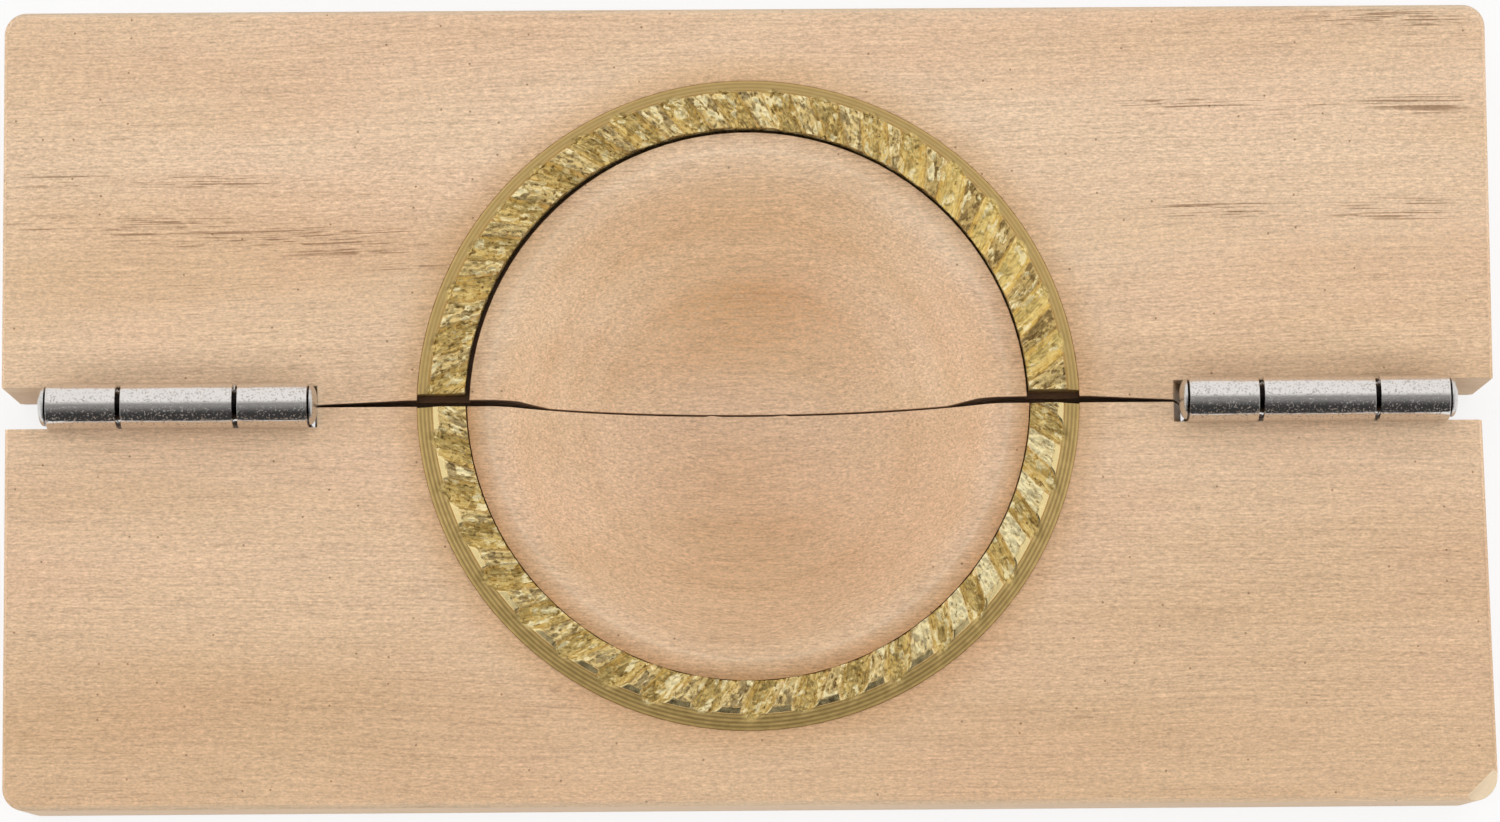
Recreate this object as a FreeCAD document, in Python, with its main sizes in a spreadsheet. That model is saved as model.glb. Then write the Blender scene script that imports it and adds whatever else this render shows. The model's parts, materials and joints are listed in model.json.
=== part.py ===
"""Wooden dumpling mold: two hinged boards, a round bowl and a brass crimping ring sawn in two.

Rest pose: open flat. X runs along the hinge axis, Y points to the rear board and Z points up.
The origin is on the table, under the middle of the seam. All sizes are in millimetres.
"""
import FreeCAD, Part
import os
import Sketcher
from FreeCAD import Rotation, Vector

# Driving sizes: name, value, what it is
SIZES = [
    ("board_length", 200.0, "length of the front board along the hinges"),
    ("rear_board_extra", 1.0, "how much longer the rear board is"),
    ("front_end_skew", 1.1, "how far the front board's right end runs out of square"),
    ("board_depth", 54.0, "seam to outer edge of each board"),
    ("board_thickness", 20.0, "thickness of both boards"),
    ("corner_radius", 3.0, "outer corners, seen from above"),
    ("edge_break", 0.6, "sanded bevel of the outer top and bottom edges"),
    ("seam_gap", 0.25, "gap between the two boards"),
    ("seam_relief", 0.6, "extra gap filed into the rear board beside the ring"),
    ("relief_margin", 1.5, "relief beyond the ring, towards the hinge"),
    ("relief_run", 2.0, "relief inside the bowl edge, at full width"),
    ("relief_taper", 4.0, "run of the relief back to the seam, towards the middle"),
    ("bowl_depth", 15.0, "depth of the bowl below the board tops"),
    ("bowl_land", 5.0, "bowl edge to the inside of the ring, before the rim is rounded"),
    ("bowl_rim_radius", 5.0, "rounding of the bowl rim"),
    ("ring_inner_radius", 38.0, "inside of the brass ring"),
    ("ring_width", 6.5, "ring inside to outside"),
    ("ring_crown_width", 4.3, "flat crimping crown of the ring"),
    ("ring_lip_drop", 0.85, "steep step at the outer edge of the crown"),
    ("ring_lip_run", 0.2, "how far the step leans outwards"),
    ("ring_edge_height", 0.25, "height of the outer edge above the wood"),
    ("ring_seat_depth", 3.0, "depth of the ring seat in the board"),
    ("ring_seat_clearance", 0.12, "gap round the ring in its seat"),
    ("rear_seat_inner_gap", 0.4, "wider gap inside the rear half ring"),
    ("ring_kerf_shift", 0.6, "each half ring lies this far past the seam, to make up the saw cut"),
    ("rear_ring_setback", 0.8, "rear ring ends behind the rear board's edge"),
    ("front_ring_setback", 0.2, "front ring ends behind the front board's edge"),
    ("ring_closing_gap", 0.15, "ring crown below the hinge axis"),
    ("groove_count", 19, "crimping grooves in each half ring"),
    ("groove_pitch", 9.2, "angle from groove to groove, in degrees"),
    ("groove_start", 9.7, "angle of the rear ring's first groove, in degrees"),
    ("groove_slant", 30.0, "slant of the grooves from the radial direction, in degrees"),
    ("groove_radius", 1.85, "radius of the round cutter"),
    ("groove_depth", 1.3, "depth of the grooves below the crown"),
    ("hinge_share", 0.71, "share of the spare board beside a hinge that lies towards the ring"),
    ("axis_height", 2.2, "hinge axis above the board tops"),
    ("hinge_length", 35.0, "length of the hinge over its knuckles"),
    ("middle_knuckle", 15.0, "length of the middle knuckle"),
    ("knuckle_gap", 0.6, "gap between knuckles"),
    ("knuckle_radius", 3.05, "outside of the knuckles"),
    ("leaf_swage", 0.25, "how far the leaf is set in from the outside of the knuckle"),
    ("leaf_thickness", 1.1, "hinge plate thickness"),
    ("leaf_reach", 13.0, "hinge axis to the far edge of a leaf"),
    ("leaf_clearance", 0.35, "leaf edge to the other leaf's knuckles"),
    ("pin_radius", 1.9, "hinge pin"),
    ("pin_running_clearance", 0.05, "radial play of the pin in the middle knuckle"),
    ("pin_head_radius", 2.7, "domed heads of the pin"),
    ("pin_head_thickness", 0.9, "thickness of a pin head"),
    ("pin_head_dome", 0.65, "bevel that domes a pin head"),
    ("pin_head_gap", 0.25, "pin head to the end of the knuckle"),
    ("notch_end_clearance", 0.4, "hinge leaf to the inner end of its notch"),
    ("notch_lead", 1.0, "length of the sloped inner end of the notch"),
    ("notch_lead_depth", 5.0, "depth of the sloped inner end of the notch"),
    ("screw_spacing", 22.0, "distance between the two screws of a leaf"),
    ("screw_drop", 8.5, "hinge axis down to the screws"),
    ("screw_radius", 1.2, "screw shank"),
    ("screw_length", 12.0, "screw, head to point"),
    ("screw_point", 3.0, "tapered point of the screw"),
    ("screw_clearance", 0.05, "gap round the screw"),
    ("screw_head_land", 0.1, "plate left under the edge of the screw head"),
]

doc = FreeCAD.newDocument("dumpling_mold")
sheet = doc.addObject("Spreadsheet::Sheet", "Sizes")
for row, (alias, size, meaning) in enumerate(SIZES, 1):
    sheet.set(f"A{row}", meaning)
    sheet.set(f"B{row}", str(size))
    sheet.setAlias(f"B{row}", alias)
doc.recompute()

# Lengths closer than this are taken as equal when edges are picked
NEAR = 0.01

# Formulas shared by pieces that fit together
AXIS_Z = "(Sizes.board_thickness + Sizes.axis_height)"
SEAM = "(Sizes.seam_gap / 2)"
NOTCH_FACE = "(Sizes.knuckle_radius - Sizes.leaf_swage)"
RING_OUTER = "(Sizes.ring_inner_radius + Sizes.ring_width)"
SPARE_LENGTH = f"(Sizes.board_length / 2 - {RING_OUTER} - Sizes.hinge_length)"
HINGE_X = f"({RING_OUTER} + Sizes.hinge_share * {SPARE_LENGTH} + Sizes.hinge_length / 2)"
NOTCH_END = f"({HINGE_X} - Sizes.hinge_length / 2 - Sizes.notch_end_clearance)"
NOTCH_TOP_END = f"({NOTCH_END} - Sizes.notch_lead)"
RING_MIDDLE = "(Sizes.ring_inner_radius + Sizes.ring_crown_width / 2)"
RING_PROUD = "(Sizes.axis_height - Sizes.ring_closing_gap)"
BOWL_RADIUS = "(Sizes.ring_inner_radius - Sizes.bowl_land)"
HEAD_DEPTH = "(Sizes.leaf_thickness - Sizes.screw_head_land)"
LEAF_INNER_FACE = f"({NOTCH_FACE} - Sizes.leaf_thickness)"
OUTER_KNUCKLE_START = "(Sizes.middle_knuckle / 2 + Sizes.knuckle_gap)"
HALF_HINGE = "(Sizes.hinge_length / 2)"


def value(formula):
    """The number that a sheet formula gives now."""
    result = sheet.evalExpression(formula)
    return float(getattr(result, "Value", result))


def minus(formula):
    """The formula with its sign turned."""
    return f"(0 - {formula})"


def signed(side, formula):
    """The formula on the rear side (+1) or the front side (-1)."""
    return formula if side > 0 else minus(formula)


# Sketch and feature helpers

def new_body(label):
    """An empty body that becomes one sub-part."""
    body = doc.addObject("PartDesign::Body", label)
    body.Label = label
    return body


def origin_feature(body, role):
    """An origin plane or axis of the body."""
    return next(item for item in body.Origin.OriginFeatures if item.Role == role)


def sketch_on(body, plane, name, offset=None):
    """A sketch on one of the body's own origin planes, moved along its normal by a formula."""
    sketch = body.newObject("Sketcher::SketchObject", name)
    sketch.AttachmentSupport = [(origin_feature(body, plane), "")]
    sketch.MapMode = "FlatFace"
    if offset:
        sketch.setExpression("AttachmentOffset.Base.z", offset)
    return sketch


def bind(sketch, kind, *places, formula):
    """Adds one dimension and ties it to a sheet formula."""
    number = sketch.addConstraint(Sketcher.Constraint(kind, *places, value(formula)))
    sketch.setExpression(f"Constraints[{number}]", formula)


def pin_point(sketch, geometry, point, place):
    """Fixes a point of the sketch at two formulas, measured from the sketch origin."""
    bind(sketch, "DistanceX", -1, 1, geometry, point, formula=place[0])
    bind(sketch, "DistanceY", -1, 1, geometry, point, formula=place[1])


def outline(sketch, corners):
    """A closed outline of straight edges, every corner fixed by two formulas."""
    places = [Vector(value(x), value(y), 0) for x, y in corners]
    first = sketch.GeometryCount
    for start, end in zip(places, places[1:] + places[:1]):
        sketch.addGeometry(Part.LineSegment(start, end), False)
    for step in range(len(corners)):
        after = first + (step + 1) % len(corners)
        sketch.addConstraint(Sketcher.Constraint("Coincident", first + step, 2, after, 1))
    for step, corner in enumerate(corners):
        pin_point(sketch, first + step, 1, corner)


def circle(sketch, centre, radius):
    """A circle with its centre and radius bound to formulas."""
    middle = Vector(value(centre[0]), value(centre[1]), 0)
    number = sketch.addGeometry(Part.Circle(middle, Vector(0, 0, 1), value(radius)), False)
    pin_point(sketch, number, 3, centre)
    bind(sketch, "Radius", number, formula=radius)


def feature(body, kind, name, profile, **settings):
    """A sketch-based feature; text settings are formulas, except the name of a length type."""
    item = body.newObject(f"PartDesign::{kind}", name)
    item.Profile = profile
    for key, setting in settings.items():
        if isinstance(setting, str) and key != "Type":
            item.setExpression(key, setting)
        else:
            setattr(item, key, setting)
    doc.recompute()
    return item


def turned(body, kind, name, profile, axis, angle):
    """A turned solid or a turned cut about one of the sketch's axes."""
    item = body.newObject(f"PartDesign::{kind}", name)
    item.Profile = profile
    item.ReferenceAxis = (profile, [axis])
    item.Angle = angle
    doc.recompute()
    return item


def dress_edges(body, kind, name, size_key, size, test):
    """Rounds or bevels the tip's edges that pass the test."""
    base = body.Tip
    chosen = [f"Edge{n}" for n, edge in enumerate(base.Shape.Edges, 1) if test(edge)]
    item = body.newObject(f"PartDesign::{kind}", name)
    item.Base = (base, chosen)
    item.setExpression(size_key, size)
    doc.recompute()
    return item


def place_at(body, x, y, z):
    """Moves a sub-part to its place in the assembly."""
    for axis, formula in zip("xyz", (x, y, z)):
        body.setExpression(f"Placement.Base.{axis}", formula)


# Boards

def board_corners(side):
    """The board seen from above: outer edge, two hinge notches and the seam."""
    half = "(Sizes.board_length / 2)"
    seam = signed(side, SEAM)
    notch = signed(side, NOTCH_FACE)
    outer = signed(side, "Sizes.board_depth")
    inner_right = [(NOTCH_END, notch), (NOTCH_END, seam)]
    inner_left = [(minus(x), y) for x, y in reversed(inner_right)]
    if side < 0:
        skewed = f"({half} - Sizes.front_end_skew)"
        right = [(half, outer), (skewed, notch)] + inner_right
        return right + inner_left + [(minus(half), notch), (minus(half), outer)]
    half = "((Sizes.board_length + Sizes.rear_board_extra) / 2)"
    right = [(half, outer), (half, notch)] + inner_right
    relieved = f"({SEAM} + Sizes.seam_relief)"
    relief_inner = f"({BOWL_RADIUS} - Sizes.relief_run)"
    relief = [
        (f"({RING_OUTER} + Sizes.relief_margin)", relieved),
        (relief_inner, relieved),
        (f"({relief_inner} - Sizes.relief_taper)", seam),
    ]
    one_side = right + relief
    return one_side + [(minus(x), y) for x, y in reversed(one_side)]


def board(label, side):
    """One wooden board with its half bowl, ring seat, hinge notches and pilot holes."""
    body = new_body(label)
    plan = sketch_on(body, "XY_Plane", f"{label}_plan")
    outline(plan, board_corners(side))
    feature(body, "Pad", f"{label}_blank", plan, Length="Sizes.board_thickness")

    depth = value("Sizes.board_depth")
    thickness = value("Sizes.board_thickness")
    notch = value(NOTCH_FACE)

    def upright_outer_corner(edge):
        middle = edge.BoundBox.Center
        return edge.BoundBox.ZLength > thickness / 2 and abs(abs(middle.y) - depth) < NEAR

    dress_edges(body, "Fillet", f"{label}_corners", "Radius", "Sizes.corner_radius", upright_outer_corner)

    def outer_rim(edge):
        return edge.BoundBox.ZLength < NEAR and abs(edge.BoundBox.Center.y) > notch + NEAR

    dress_edges(body, "Chamfer", f"{label}_edges", "Size", "Sizes.edge_break", outer_rim)

    bowl_section(body, label)
    ring_seat(body, label, side)
    notch_slopes(body, label, side)
    pilot_holes(body, label, side)
    return body


def bowl_section(body, label):
    """The bowl: a ball-shaped hollow that runs out over a rounded rim, turned about the mold's middle."""
    ball = f"(({BOWL_RADIUS}^2 + Sizes.bowl_depth^2) / (2 * Sizes.bowl_depth))"
    ball_height = f"(Sizes.board_thickness - Sizes.bowl_depth + {ball})"
    rim = "Sizes.bowl_rim_radius"
    rim_height = f"(Sizes.board_thickness - {rim})"
    centres = f"({ball} + {rim})"
    rim_place = f"sqrt({centres}^2 - ({ball_height} - {rim_height})^2)"
    meeting = (f"({rim_place} * {ball} / {centres})",
               f"({ball_height} - ({ball_height} - {rim_height}) * {ball} / {centres})")

    top = value("Sizes.board_thickness")
    bottom = Vector(0, value(ball_height) - value(ball), 0)
    ball_centre = Vector(0, value(ball_height), 0)
    rim_centre = Vector(value(rim_place), value(rim_height), 0)
    edge = Vector(value(rim_place), top, 0)
    join = Vector(value(meeting[0]), value(meeting[1]), 0)
    belly = ball_centre + ((bottom + join) / 2 - ball_centre).normalize() * value(ball)
    shoulder = rim_centre + ((join + edge) / 2 - rim_centre).normalize() * value(rim)

    section = sketch_on(body, "XZ_Plane", f"{label}_bowl_section")
    hollow = section.addGeometry(Part.Arc(bottom, belly, join), False)
    lip = section.addGeometry(Part.Arc(join, shoulder, edge), False)
    lid = section.addGeometry(Part.LineSegment(edge, Vector(0, top, 0)), False)
    axis = section.addGeometry(Part.LineSegment(Vector(0, top, 0), bottom), False)
    hollow_end = 2 if section.getPoint(hollow, 2).distanceToPoint(join) < NEAR else 1
    lip_end = 2 if section.getPoint(lip, 2).distanceToPoint(edge) < NEAR else 1
    joints = (
        (hollow, hollow_end, lip, 3 - lip_end),
        (lip, lip_end, lid, 1),
        (lid, 2, axis, 1),
        (axis, 2, hollow, 3 - hollow_end),
    )
    for one, one_end, other, other_end in joints:
        section.addConstraint(Sketcher.Constraint("Coincident", one, one_end, other, other_end))
    pin_point(section, axis, 2, ("0", "Sizes.board_thickness - Sizes.bowl_depth"))
    pin_point(section, axis, 1, ("0", "Sizes.board_thickness"))
    pin_point(section, lid, 1, (rim_place, "Sizes.board_thickness"))
    pin_point(section, hollow, hollow_end, meeting)
    bind(section, "Radius", hollow, formula=ball)
    bind(section, "Radius", lip, formula=rim)
    turned(body, "Groove", f"{label}_bowl", section, "V_Axis", 360)


def ring_seat(body, label, side):
    """The flat-bottomed channel that the half ring sits in."""
    inner_gap = "Sizes.rear_seat_inner_gap" if side > 0 else "Sizes.ring_seat_clearance"
    centre = ("0", signed(-side, "Sizes.ring_kerf_shift"))
    plan = sketch_on(body, "XY_Plane", f"{label}_seat_plan", "Sizes.board_thickness")
    circle(plan, centre, f"{RING_OUTER} + Sizes.ring_seat_clearance")
    circle(plan, centre, f"Sizes.ring_inner_radius - {inner_gap}")
    feature(body, "Pocket", f"{label}_ring_seat", plan, Length="Sizes.ring_seat_depth")


def notch_slopes(body, label, side):
    """The sloped inner ends that the saw leaves in the two hinge notches."""
    face = signed(-side, NOTCH_FACE)
    plan = sketch_on(body, "XZ_Plane", f"{label}_slope_side", face)
    top = "Sizes.board_thickness"
    foot = "Sizes.board_thickness - Sizes.notch_lead_depth"
    outline(plan, [(NOTCH_END, top), (NOTCH_TOP_END, top), (NOTCH_END, foot)])
    outline(plan, [(minus(NOTCH_END), top), (minus(NOTCH_END), foot), (minus(NOTCH_TOP_END), top)])
    feature(body, "Pocket", f"{label}_slopes", plan, Length=NOTCH_FACE, Reversed=side > 0)


def pilot_holes(body, label, side):
    """Four holes in the notch faces for the hinge screws."""
    face = signed(-side, NOTCH_FACE)
    plan = sketch_on(body, "XZ_Plane", f"{label}_hole_places", face)
    height = f"({AXIS_Z} - Sizes.screw_drop)"
    for hinge in (minus(HINGE_X), HINGE_X):
        for half in ("- Sizes.screw_spacing / 2", "+ Sizes.screw_spacing / 2"):
            circle(plan, (f"({hinge} {half})", height), "Sizes.screw_radius + Sizes.screw_clearance")
    depth = "Sizes.screw_length - Sizes.leaf_thickness + Sizes.screw_clearance"
    feature(body, "Pocket", f"{label}_pilot_holes", plan, Length=depth, Reversed=side < 0)


# Brass half rings

def half_ring(label, side):
    """Half of a turned ring with slanted crimping grooves, in a frame on the ring's own centre."""
    body = new_body(label)
    section = sketch_on(body, "XZ_Plane", f"{label}_section")
    foot = minus("Sizes.ring_seat_depth")
    crown = "(Sizes.ring_inner_radius + Sizes.ring_crown_width)"
    outline(section, [
        ("Sizes.ring_inner_radius", foot),
        (RING_OUTER, foot),
        (RING_OUTER, "Sizes.ring_edge_height"),
        (f"{crown} + Sizes.ring_lip_run", f"{RING_PROUD} - Sizes.ring_lip_drop"),
        (crown, RING_PROUD),
        ("Sizes.ring_inner_radius", RING_PROUD),
    ])
    turned(body, "Revolution", f"{label}_turning", section, "V_Axis", 360)

    setback = "Sizes.rear_ring_setback" if side > 0 else "Sizes.front_ring_setback"
    saw_cut = signed(side, f"({SEAM} + {setback} + Sizes.ring_kerf_shift)")
    beyond = f"(2 * {RING_OUTER})"
    plan = sketch_on(body, "XY_Plane", f"{label}_saw_cut", minus("Sizes.ring_seat_depth"))
    far = signed(-side, beyond)
    outline(plan, [(minus(beyond), saw_cut), (beyond, saw_cut), (beyond, far), (minus(beyond), far)])
    feature(body, "Pocket", f"{label}_half", plan, Length=beyond, Reversed=True)

    grooves(body, label, side)
    place_at(body, "0", signed(-side, "Sizes.ring_kerf_shift"), "Sizes.board_thickness")
    return body


def grooves(body, label, side):
    """Slanted round-bottomed grooves; the front ring's are mirrored and half a pitch on."""
    start = "Sizes.groove_start" if side > 0 else "(Sizes.groove_start - Sizes.groove_pitch / 2)"
    across = sketch_on(body, "YZ_Plane", f"{label}_groove_section")
    across.AttachmentOffset = FreeCAD.Placement(Vector(0, 0, 0), Rotation(Vector(0, side, 0), 0))
    across.setExpression("AttachmentOffset.Rotation.Angle", f"{start} + Sizes.groove_slant")
    offset = signed(-side, f"({RING_MIDDLE} * sin(Sizes.groove_slant * 1 deg))")
    height = f"({RING_PROUD} - Sizes.groove_depth + Sizes.groove_radius)"
    circle(across, (offset, height), "Sizes.groove_radius")
    cut = feature(body, "Pocket", f"{label}_groove", across, Length=f"2 * {RING_OUTER}", Reversed=True)

    pattern = body.newObject("PartDesign::PolarPattern", f"{label}_grooves")
    pattern.Originals = [cut]
    pattern.Axis = (origin_feature(body, "Z_Axis"), [""])
    pattern.Reversed = side < 0
    pattern.setExpression("Angle", "Sizes.groove_pitch * (Sizes.groove_count - 1)")
    pattern.setExpression("Occurrences", "Sizes.groove_count")
    body.Tip = pattern
    doc.recompute()


# Hinges, each in a frame on its own pin axis

def hinge_leaf(label, side, hinge_x):
    """A stamped leaf with rolled knuckles: two on the front leaf, one on the rear leaf."""
    body = new_body(label)
    edge = minus("Sizes.leaf_reach")
    low = minus("(Sizes.knuckle_radius + Sizes.leaf_clearance)")
    join = minus(f"sqrt(Sizes.knuckle_radius^2 - {NOTCH_FACE}^2)")
    middle = "(Sizes.middle_knuckle / 2)"
    if side > 0:
        top = [(HALF_HINGE, low), (middle, low), (middle, join)]
        knuckles = [(minus(middle), "Sizes.middle_knuckle")]
        bore = "Sizes.pin_radius + Sizes.pin_running_clearance"
    else:
        top = [(HALF_HINGE, join), (OUTER_KNUCKLE_START, join), (OUTER_KNUCKLE_START, low)]
        width = f"({HALF_HINGE} - {OUTER_KNUCKLE_START})"
        knuckles = [(minus(HALF_HINGE), width), (OUTER_KNUCKLE_START, width)]
        bore = "Sizes.pin_radius"
    mirrored_top = [(minus(x), z) for x, z in reversed(top)]

    face = minus(NOTCH_FACE) if side > 0 else LEAF_INNER_FACE
    plate = sketch_on(body, "XZ_Plane", f"{label}_plate_outline", face)
    outline(plate, [(minus(HALF_HINGE), edge), (HALF_HINGE, edge)] + top + mirrored_top)
    feature(body, "Pad", f"{label}_plate", plate, Length="Sizes.leaf_thickness")

    for number, (start, width) in enumerate(knuckles, 1):
        roll = sketch_on(body, "YZ_Plane", f"{label}_roll_{number}", start)
        circle(roll, ("0", "0"), "Sizes.knuckle_radius")
        feature(body, "Pad", f"{label}_knuckle_{number}", roll, Length=width)

    hole = sketch_on(body, "YZ_Plane", f"{label}_bore_circle", minus("Sizes.hinge_length"))
    circle(hole, ("0", "0"), bore)
    feature(body, "Pocket", f"{label}_bore", hole, Length="2 * Sizes.hinge_length", Reversed=True)

    holes = sketch_on(body, "XZ_Plane", f"{label}_screw_places", face)
    for half in ("(0 - Sizes.screw_spacing / 2)", "(Sizes.screw_spacing / 2)"):
        circle(holes, (half, minus("Sizes.screw_drop")), "Sizes.screw_radius + Sizes.screw_clearance")
    feature(body, "Pocket", f"{label}_screw_holes", holes, Length="Sizes.leaf_thickness", Reversed=True)

    inner = value(signed(side, LEAF_INNER_FACE))

    def inner_hole_edge(edge):
        box = edge.BoundBox
        round_edge = isinstance(edge.Curve, Part.Circle) and box.YLength < NEAR
        return round_edge and abs(box.Center.y - inner) < NEAR

    dress_edges(body, "Chamfer", f"{label}_countersinks", "Size", HEAD_DEPTH, inner_hole_edge)
    place_at(body, hinge_x, "0", AXIS_Z)
    return body


def hinge_pin(label, hinge_x):
    """A turned pin with a low domed head at each end."""
    body = new_body(label)
    section = sketch_on(body, "XY_Plane", f"{label}_section")
    seat = f"({HALF_HINGE} + Sizes.pin_head_gap)"
    end = f"({seat} + Sizes.pin_head_thickness)"
    half = [
        (end, "0"),
        (end, "Sizes.pin_head_radius"),
        (seat, "Sizes.pin_head_radius"),
        (seat, "Sizes.pin_radius"),
    ]
    outline(section, half + [(minus(x), y) for x, y in reversed(half)])
    turned(body, "Revolution", f"{label}_turning", section, "H_Axis", 360)
    tip = value(end)

    def end_rim(edge):
        return edge.BoundBox.XLength < NEAR and abs(abs(edge.BoundBox.Center.x) - tip) < NEAR

    dress_edges(body, "Chamfer", f"{label}_domes", "Size", "Sizes.pin_head_dome", end_rim)
    place_at(body, hinge_x, "0", AXIS_Z)
    return body


def leaf_screws(label, side, hinge_x):
    """The two countersunk screws of one leaf, heads flush with the leaf's inner face."""
    body = new_body(label)
    body.AllowCompound = True
    section = sketch_on(body, "XY_Plane", f"{label}_section")
    head = f"(Sizes.screw_radius + {HEAD_DEPTH})"
    shank_end = "(Sizes.screw_length - Sizes.screw_point)"
    along = [("0", "0"), (head, "0"), ("Sizes.screw_radius", HEAD_DEPTH),
             ("Sizes.screw_radius", shank_end), ("0", "Sizes.screw_length")]
    outline(section, [(radius, signed(side, y)) for radius, y in along])
    screw = turned(body, "Revolution", f"{label}_turning", section, "V_Axis", 360)
    pattern = body.newObject("PartDesign::LinearPattern", f"{label}_pair")
    pattern.Originals = [screw]
    pattern.Direction = (origin_feature(body, "X_Axis"), [""])
    pattern.setExpression("Length", "Sizes.screw_spacing")
    pattern.Occurrences = 2
    body.Tip = pattern
    doc.recompute()
    first = f"({hinge_x} - Sizes.screw_spacing / 2)"
    place_at(body, first, signed(side, LEAF_INNER_FACE), f"{AXIS_Z} - Sizes.screw_drop")
    return body


def build():
    """All sub-parts of the mold."""
    sub_parts = []
    for name, side in (("front", -1), ("rear", 1)):
        sub_parts.append(board(f"{name}_board", side))
        sub_parts.append(half_ring(f"{name}_half_ring", side))
    for hand, hinge_x in (("left", minus(HINGE_X)), ("right", HINGE_X)):
        sub_parts.append(hinge_pin(f"{hand}_hinge_pin", hinge_x))
        for name, side in (("front", -1), ("rear", 1)):
            sub_parts.append(hinge_leaf(f"{hand}_hinge_{name}_leaf", side, hinge_x))
            sub_parts.append(leaf_screws(f"{hand}_hinge_{name}_screws", side, hinge_x))
    doc.recompute()
    return sub_parts


def check(sub_parts):
    """Stops if any object failed or any sub-part has no sound solid."""
    for item in doc.Objects:
        if "Invalid" in item.State or "Error" in item.State:
            raise RuntimeError(f"{item.Label} failed to build")
    for part in sub_parts:
        if part.Shape.isNull() or not part.Shape.isValid() or not part.Shape.Solids:
            raise RuntimeError(f"{part.Label} has no sound solid")


def write(sub_parts):
    """Writes every sub-part to its own file."""
    os.makedirs("parts", exist_ok=True)
    for part in sub_parts:
        part.Shape.exportStep(f"parts/{part.Label}.step")
        box = part.Shape.BoundBox
        size = f"{box.XLength:.2f} x {box.YLength:.2f} x {box.ZLength:.2f}"
        print(part.Label, len(part.Shape.Solids), "solids", size, f"{part.Shape.Volume:.1f} mm3")


parts = build()
check(parts)
write(parts)
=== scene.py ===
"""Looks of a hinged wooden dumpling mold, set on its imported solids.

Two pale boards share a round bowl. A cast brass ring, sawn in two, stands round the bowl and crimps the
dough, and two plated butt hinges join the boards. Lengths are metres in the frame of the solids: X along
the hinges, Y to the rear board, Z up. Patterns inside the materials are laid out in millimetres.
"""
import json
import math

import bmesh
import bpy
from bmesh.types import BMEdge, BMFace, BMVert
from bpy.props import FloatProperty, FloatVectorProperty, IntProperty, PointerProperty
from mathutils import Matrix, Vector, noise


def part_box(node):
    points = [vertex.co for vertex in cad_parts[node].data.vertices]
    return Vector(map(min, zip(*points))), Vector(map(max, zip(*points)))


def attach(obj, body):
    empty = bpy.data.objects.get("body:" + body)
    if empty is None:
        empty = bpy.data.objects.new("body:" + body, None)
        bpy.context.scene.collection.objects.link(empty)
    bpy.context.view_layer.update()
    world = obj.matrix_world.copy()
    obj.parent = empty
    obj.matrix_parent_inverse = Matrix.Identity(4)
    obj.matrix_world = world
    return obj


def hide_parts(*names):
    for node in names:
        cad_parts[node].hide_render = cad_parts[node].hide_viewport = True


bl_info = {
    "name": "Dumpling mold",
    "version": (1, 0, 0),
    "blender": (4, 5, 0),
    "location": "View3D > Sidebar > Mold",
    "description": "Dresses a hinged wooden dumpling mold with its brass crimping ring",
    "category": "Object",
}

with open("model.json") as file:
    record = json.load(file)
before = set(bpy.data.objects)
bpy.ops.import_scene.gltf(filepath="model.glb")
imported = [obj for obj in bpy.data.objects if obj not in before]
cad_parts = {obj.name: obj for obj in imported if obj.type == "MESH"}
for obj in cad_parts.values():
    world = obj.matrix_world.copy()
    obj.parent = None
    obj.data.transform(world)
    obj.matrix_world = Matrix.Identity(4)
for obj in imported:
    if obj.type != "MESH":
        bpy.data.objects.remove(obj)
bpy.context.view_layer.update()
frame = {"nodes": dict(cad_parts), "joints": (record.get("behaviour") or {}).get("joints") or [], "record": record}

MM = 0.001
TO_MM = 1000.0
SIDES = {"front": -1, "rear": 1}
HANDS = {"left": -1, "right": 1}
WELD = 0.001 * MM

# Places read from the solids
AXIS = Vector(frame["joints"][0]["pos_m"])
BOARD_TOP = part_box("front_board")[1].z
BODY_OF = {node: body for body, nodes in frame["record"]["behaviour"]["bodies"].items() for node in nodes}


# Sizes and colours that a user would change

def length(name, description, default):
    """A length in metres, shown in the scene's unit; the default is given in millimetres."""
    return FloatProperty(name=name, description=description, default=default * MM, unit="LENGTH", precision=5)


def turn(name, description, default):
    """An angle, shown in degrees."""
    return FloatProperty(name=name, description=description, default=math.radians(default), subtype="ANGLE")


def tint(name, description, default):
    """A linear colour."""
    return FloatVectorProperty(name=name, description=description, default=default, size=3, min=0, max=1,
                               subtype="COLOR")


def share(name, description, default):
    """A plain factor."""
    return FloatProperty(name=name, description=description, default=default, min=0)


def power(name, description, default):
    """A lamp's power in watts."""
    return FloatProperty(name=name, description=description, default=default, min=0, unit="POWER")


class BoardLooks(bpy.types.PropertyGroup):
    """Wood of the two boards."""
    rear_pale: tint("Rear, pale", "Early wood of the rear board", (0.80, 0.59, 0.405))
    rear_deep: tint("Rear, deep", "Late wood of the rear board", (0.66, 0.43, 0.245))
    front_pale: tint("Front, pale", "Early wood of the front board", (0.75, 0.535, 0.355))
    front_deep: tint("Front, deep", "Late wood of the front board", (0.60, 0.385, 0.215))
    pore: tint("Pores", "Open pores and dark streaks", (0.24, 0.125, 0.055))
    # Painted shade of the narrow seam and of the ring seats, in dark brown
    gap_shade: tint("Saw marks", "Scorched wood of the seam and of the ring seats", (0.085, 0.036, 0.016))
    # Newly sanded wood, also used as painted light on the faces of the hinge notches
    sanded_and_lit: tint("Fresh wood", "Newly sanded facets and edges", (0.84, 0.68, 0.47))
    edge_round: length("Edge rounding", "Softening of the crisp edges", 0.12)
    notch_close: length("Notch fit", "How far the notch ends lean over to the pin heads", 0.36)
    facet_reach: length("Corner facet", "How far the sanded facet reaches in from the corner", 4.6)
    facet_drop: length("Corner facet drop", "Height of the facet at the corner", 2.4)


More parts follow.
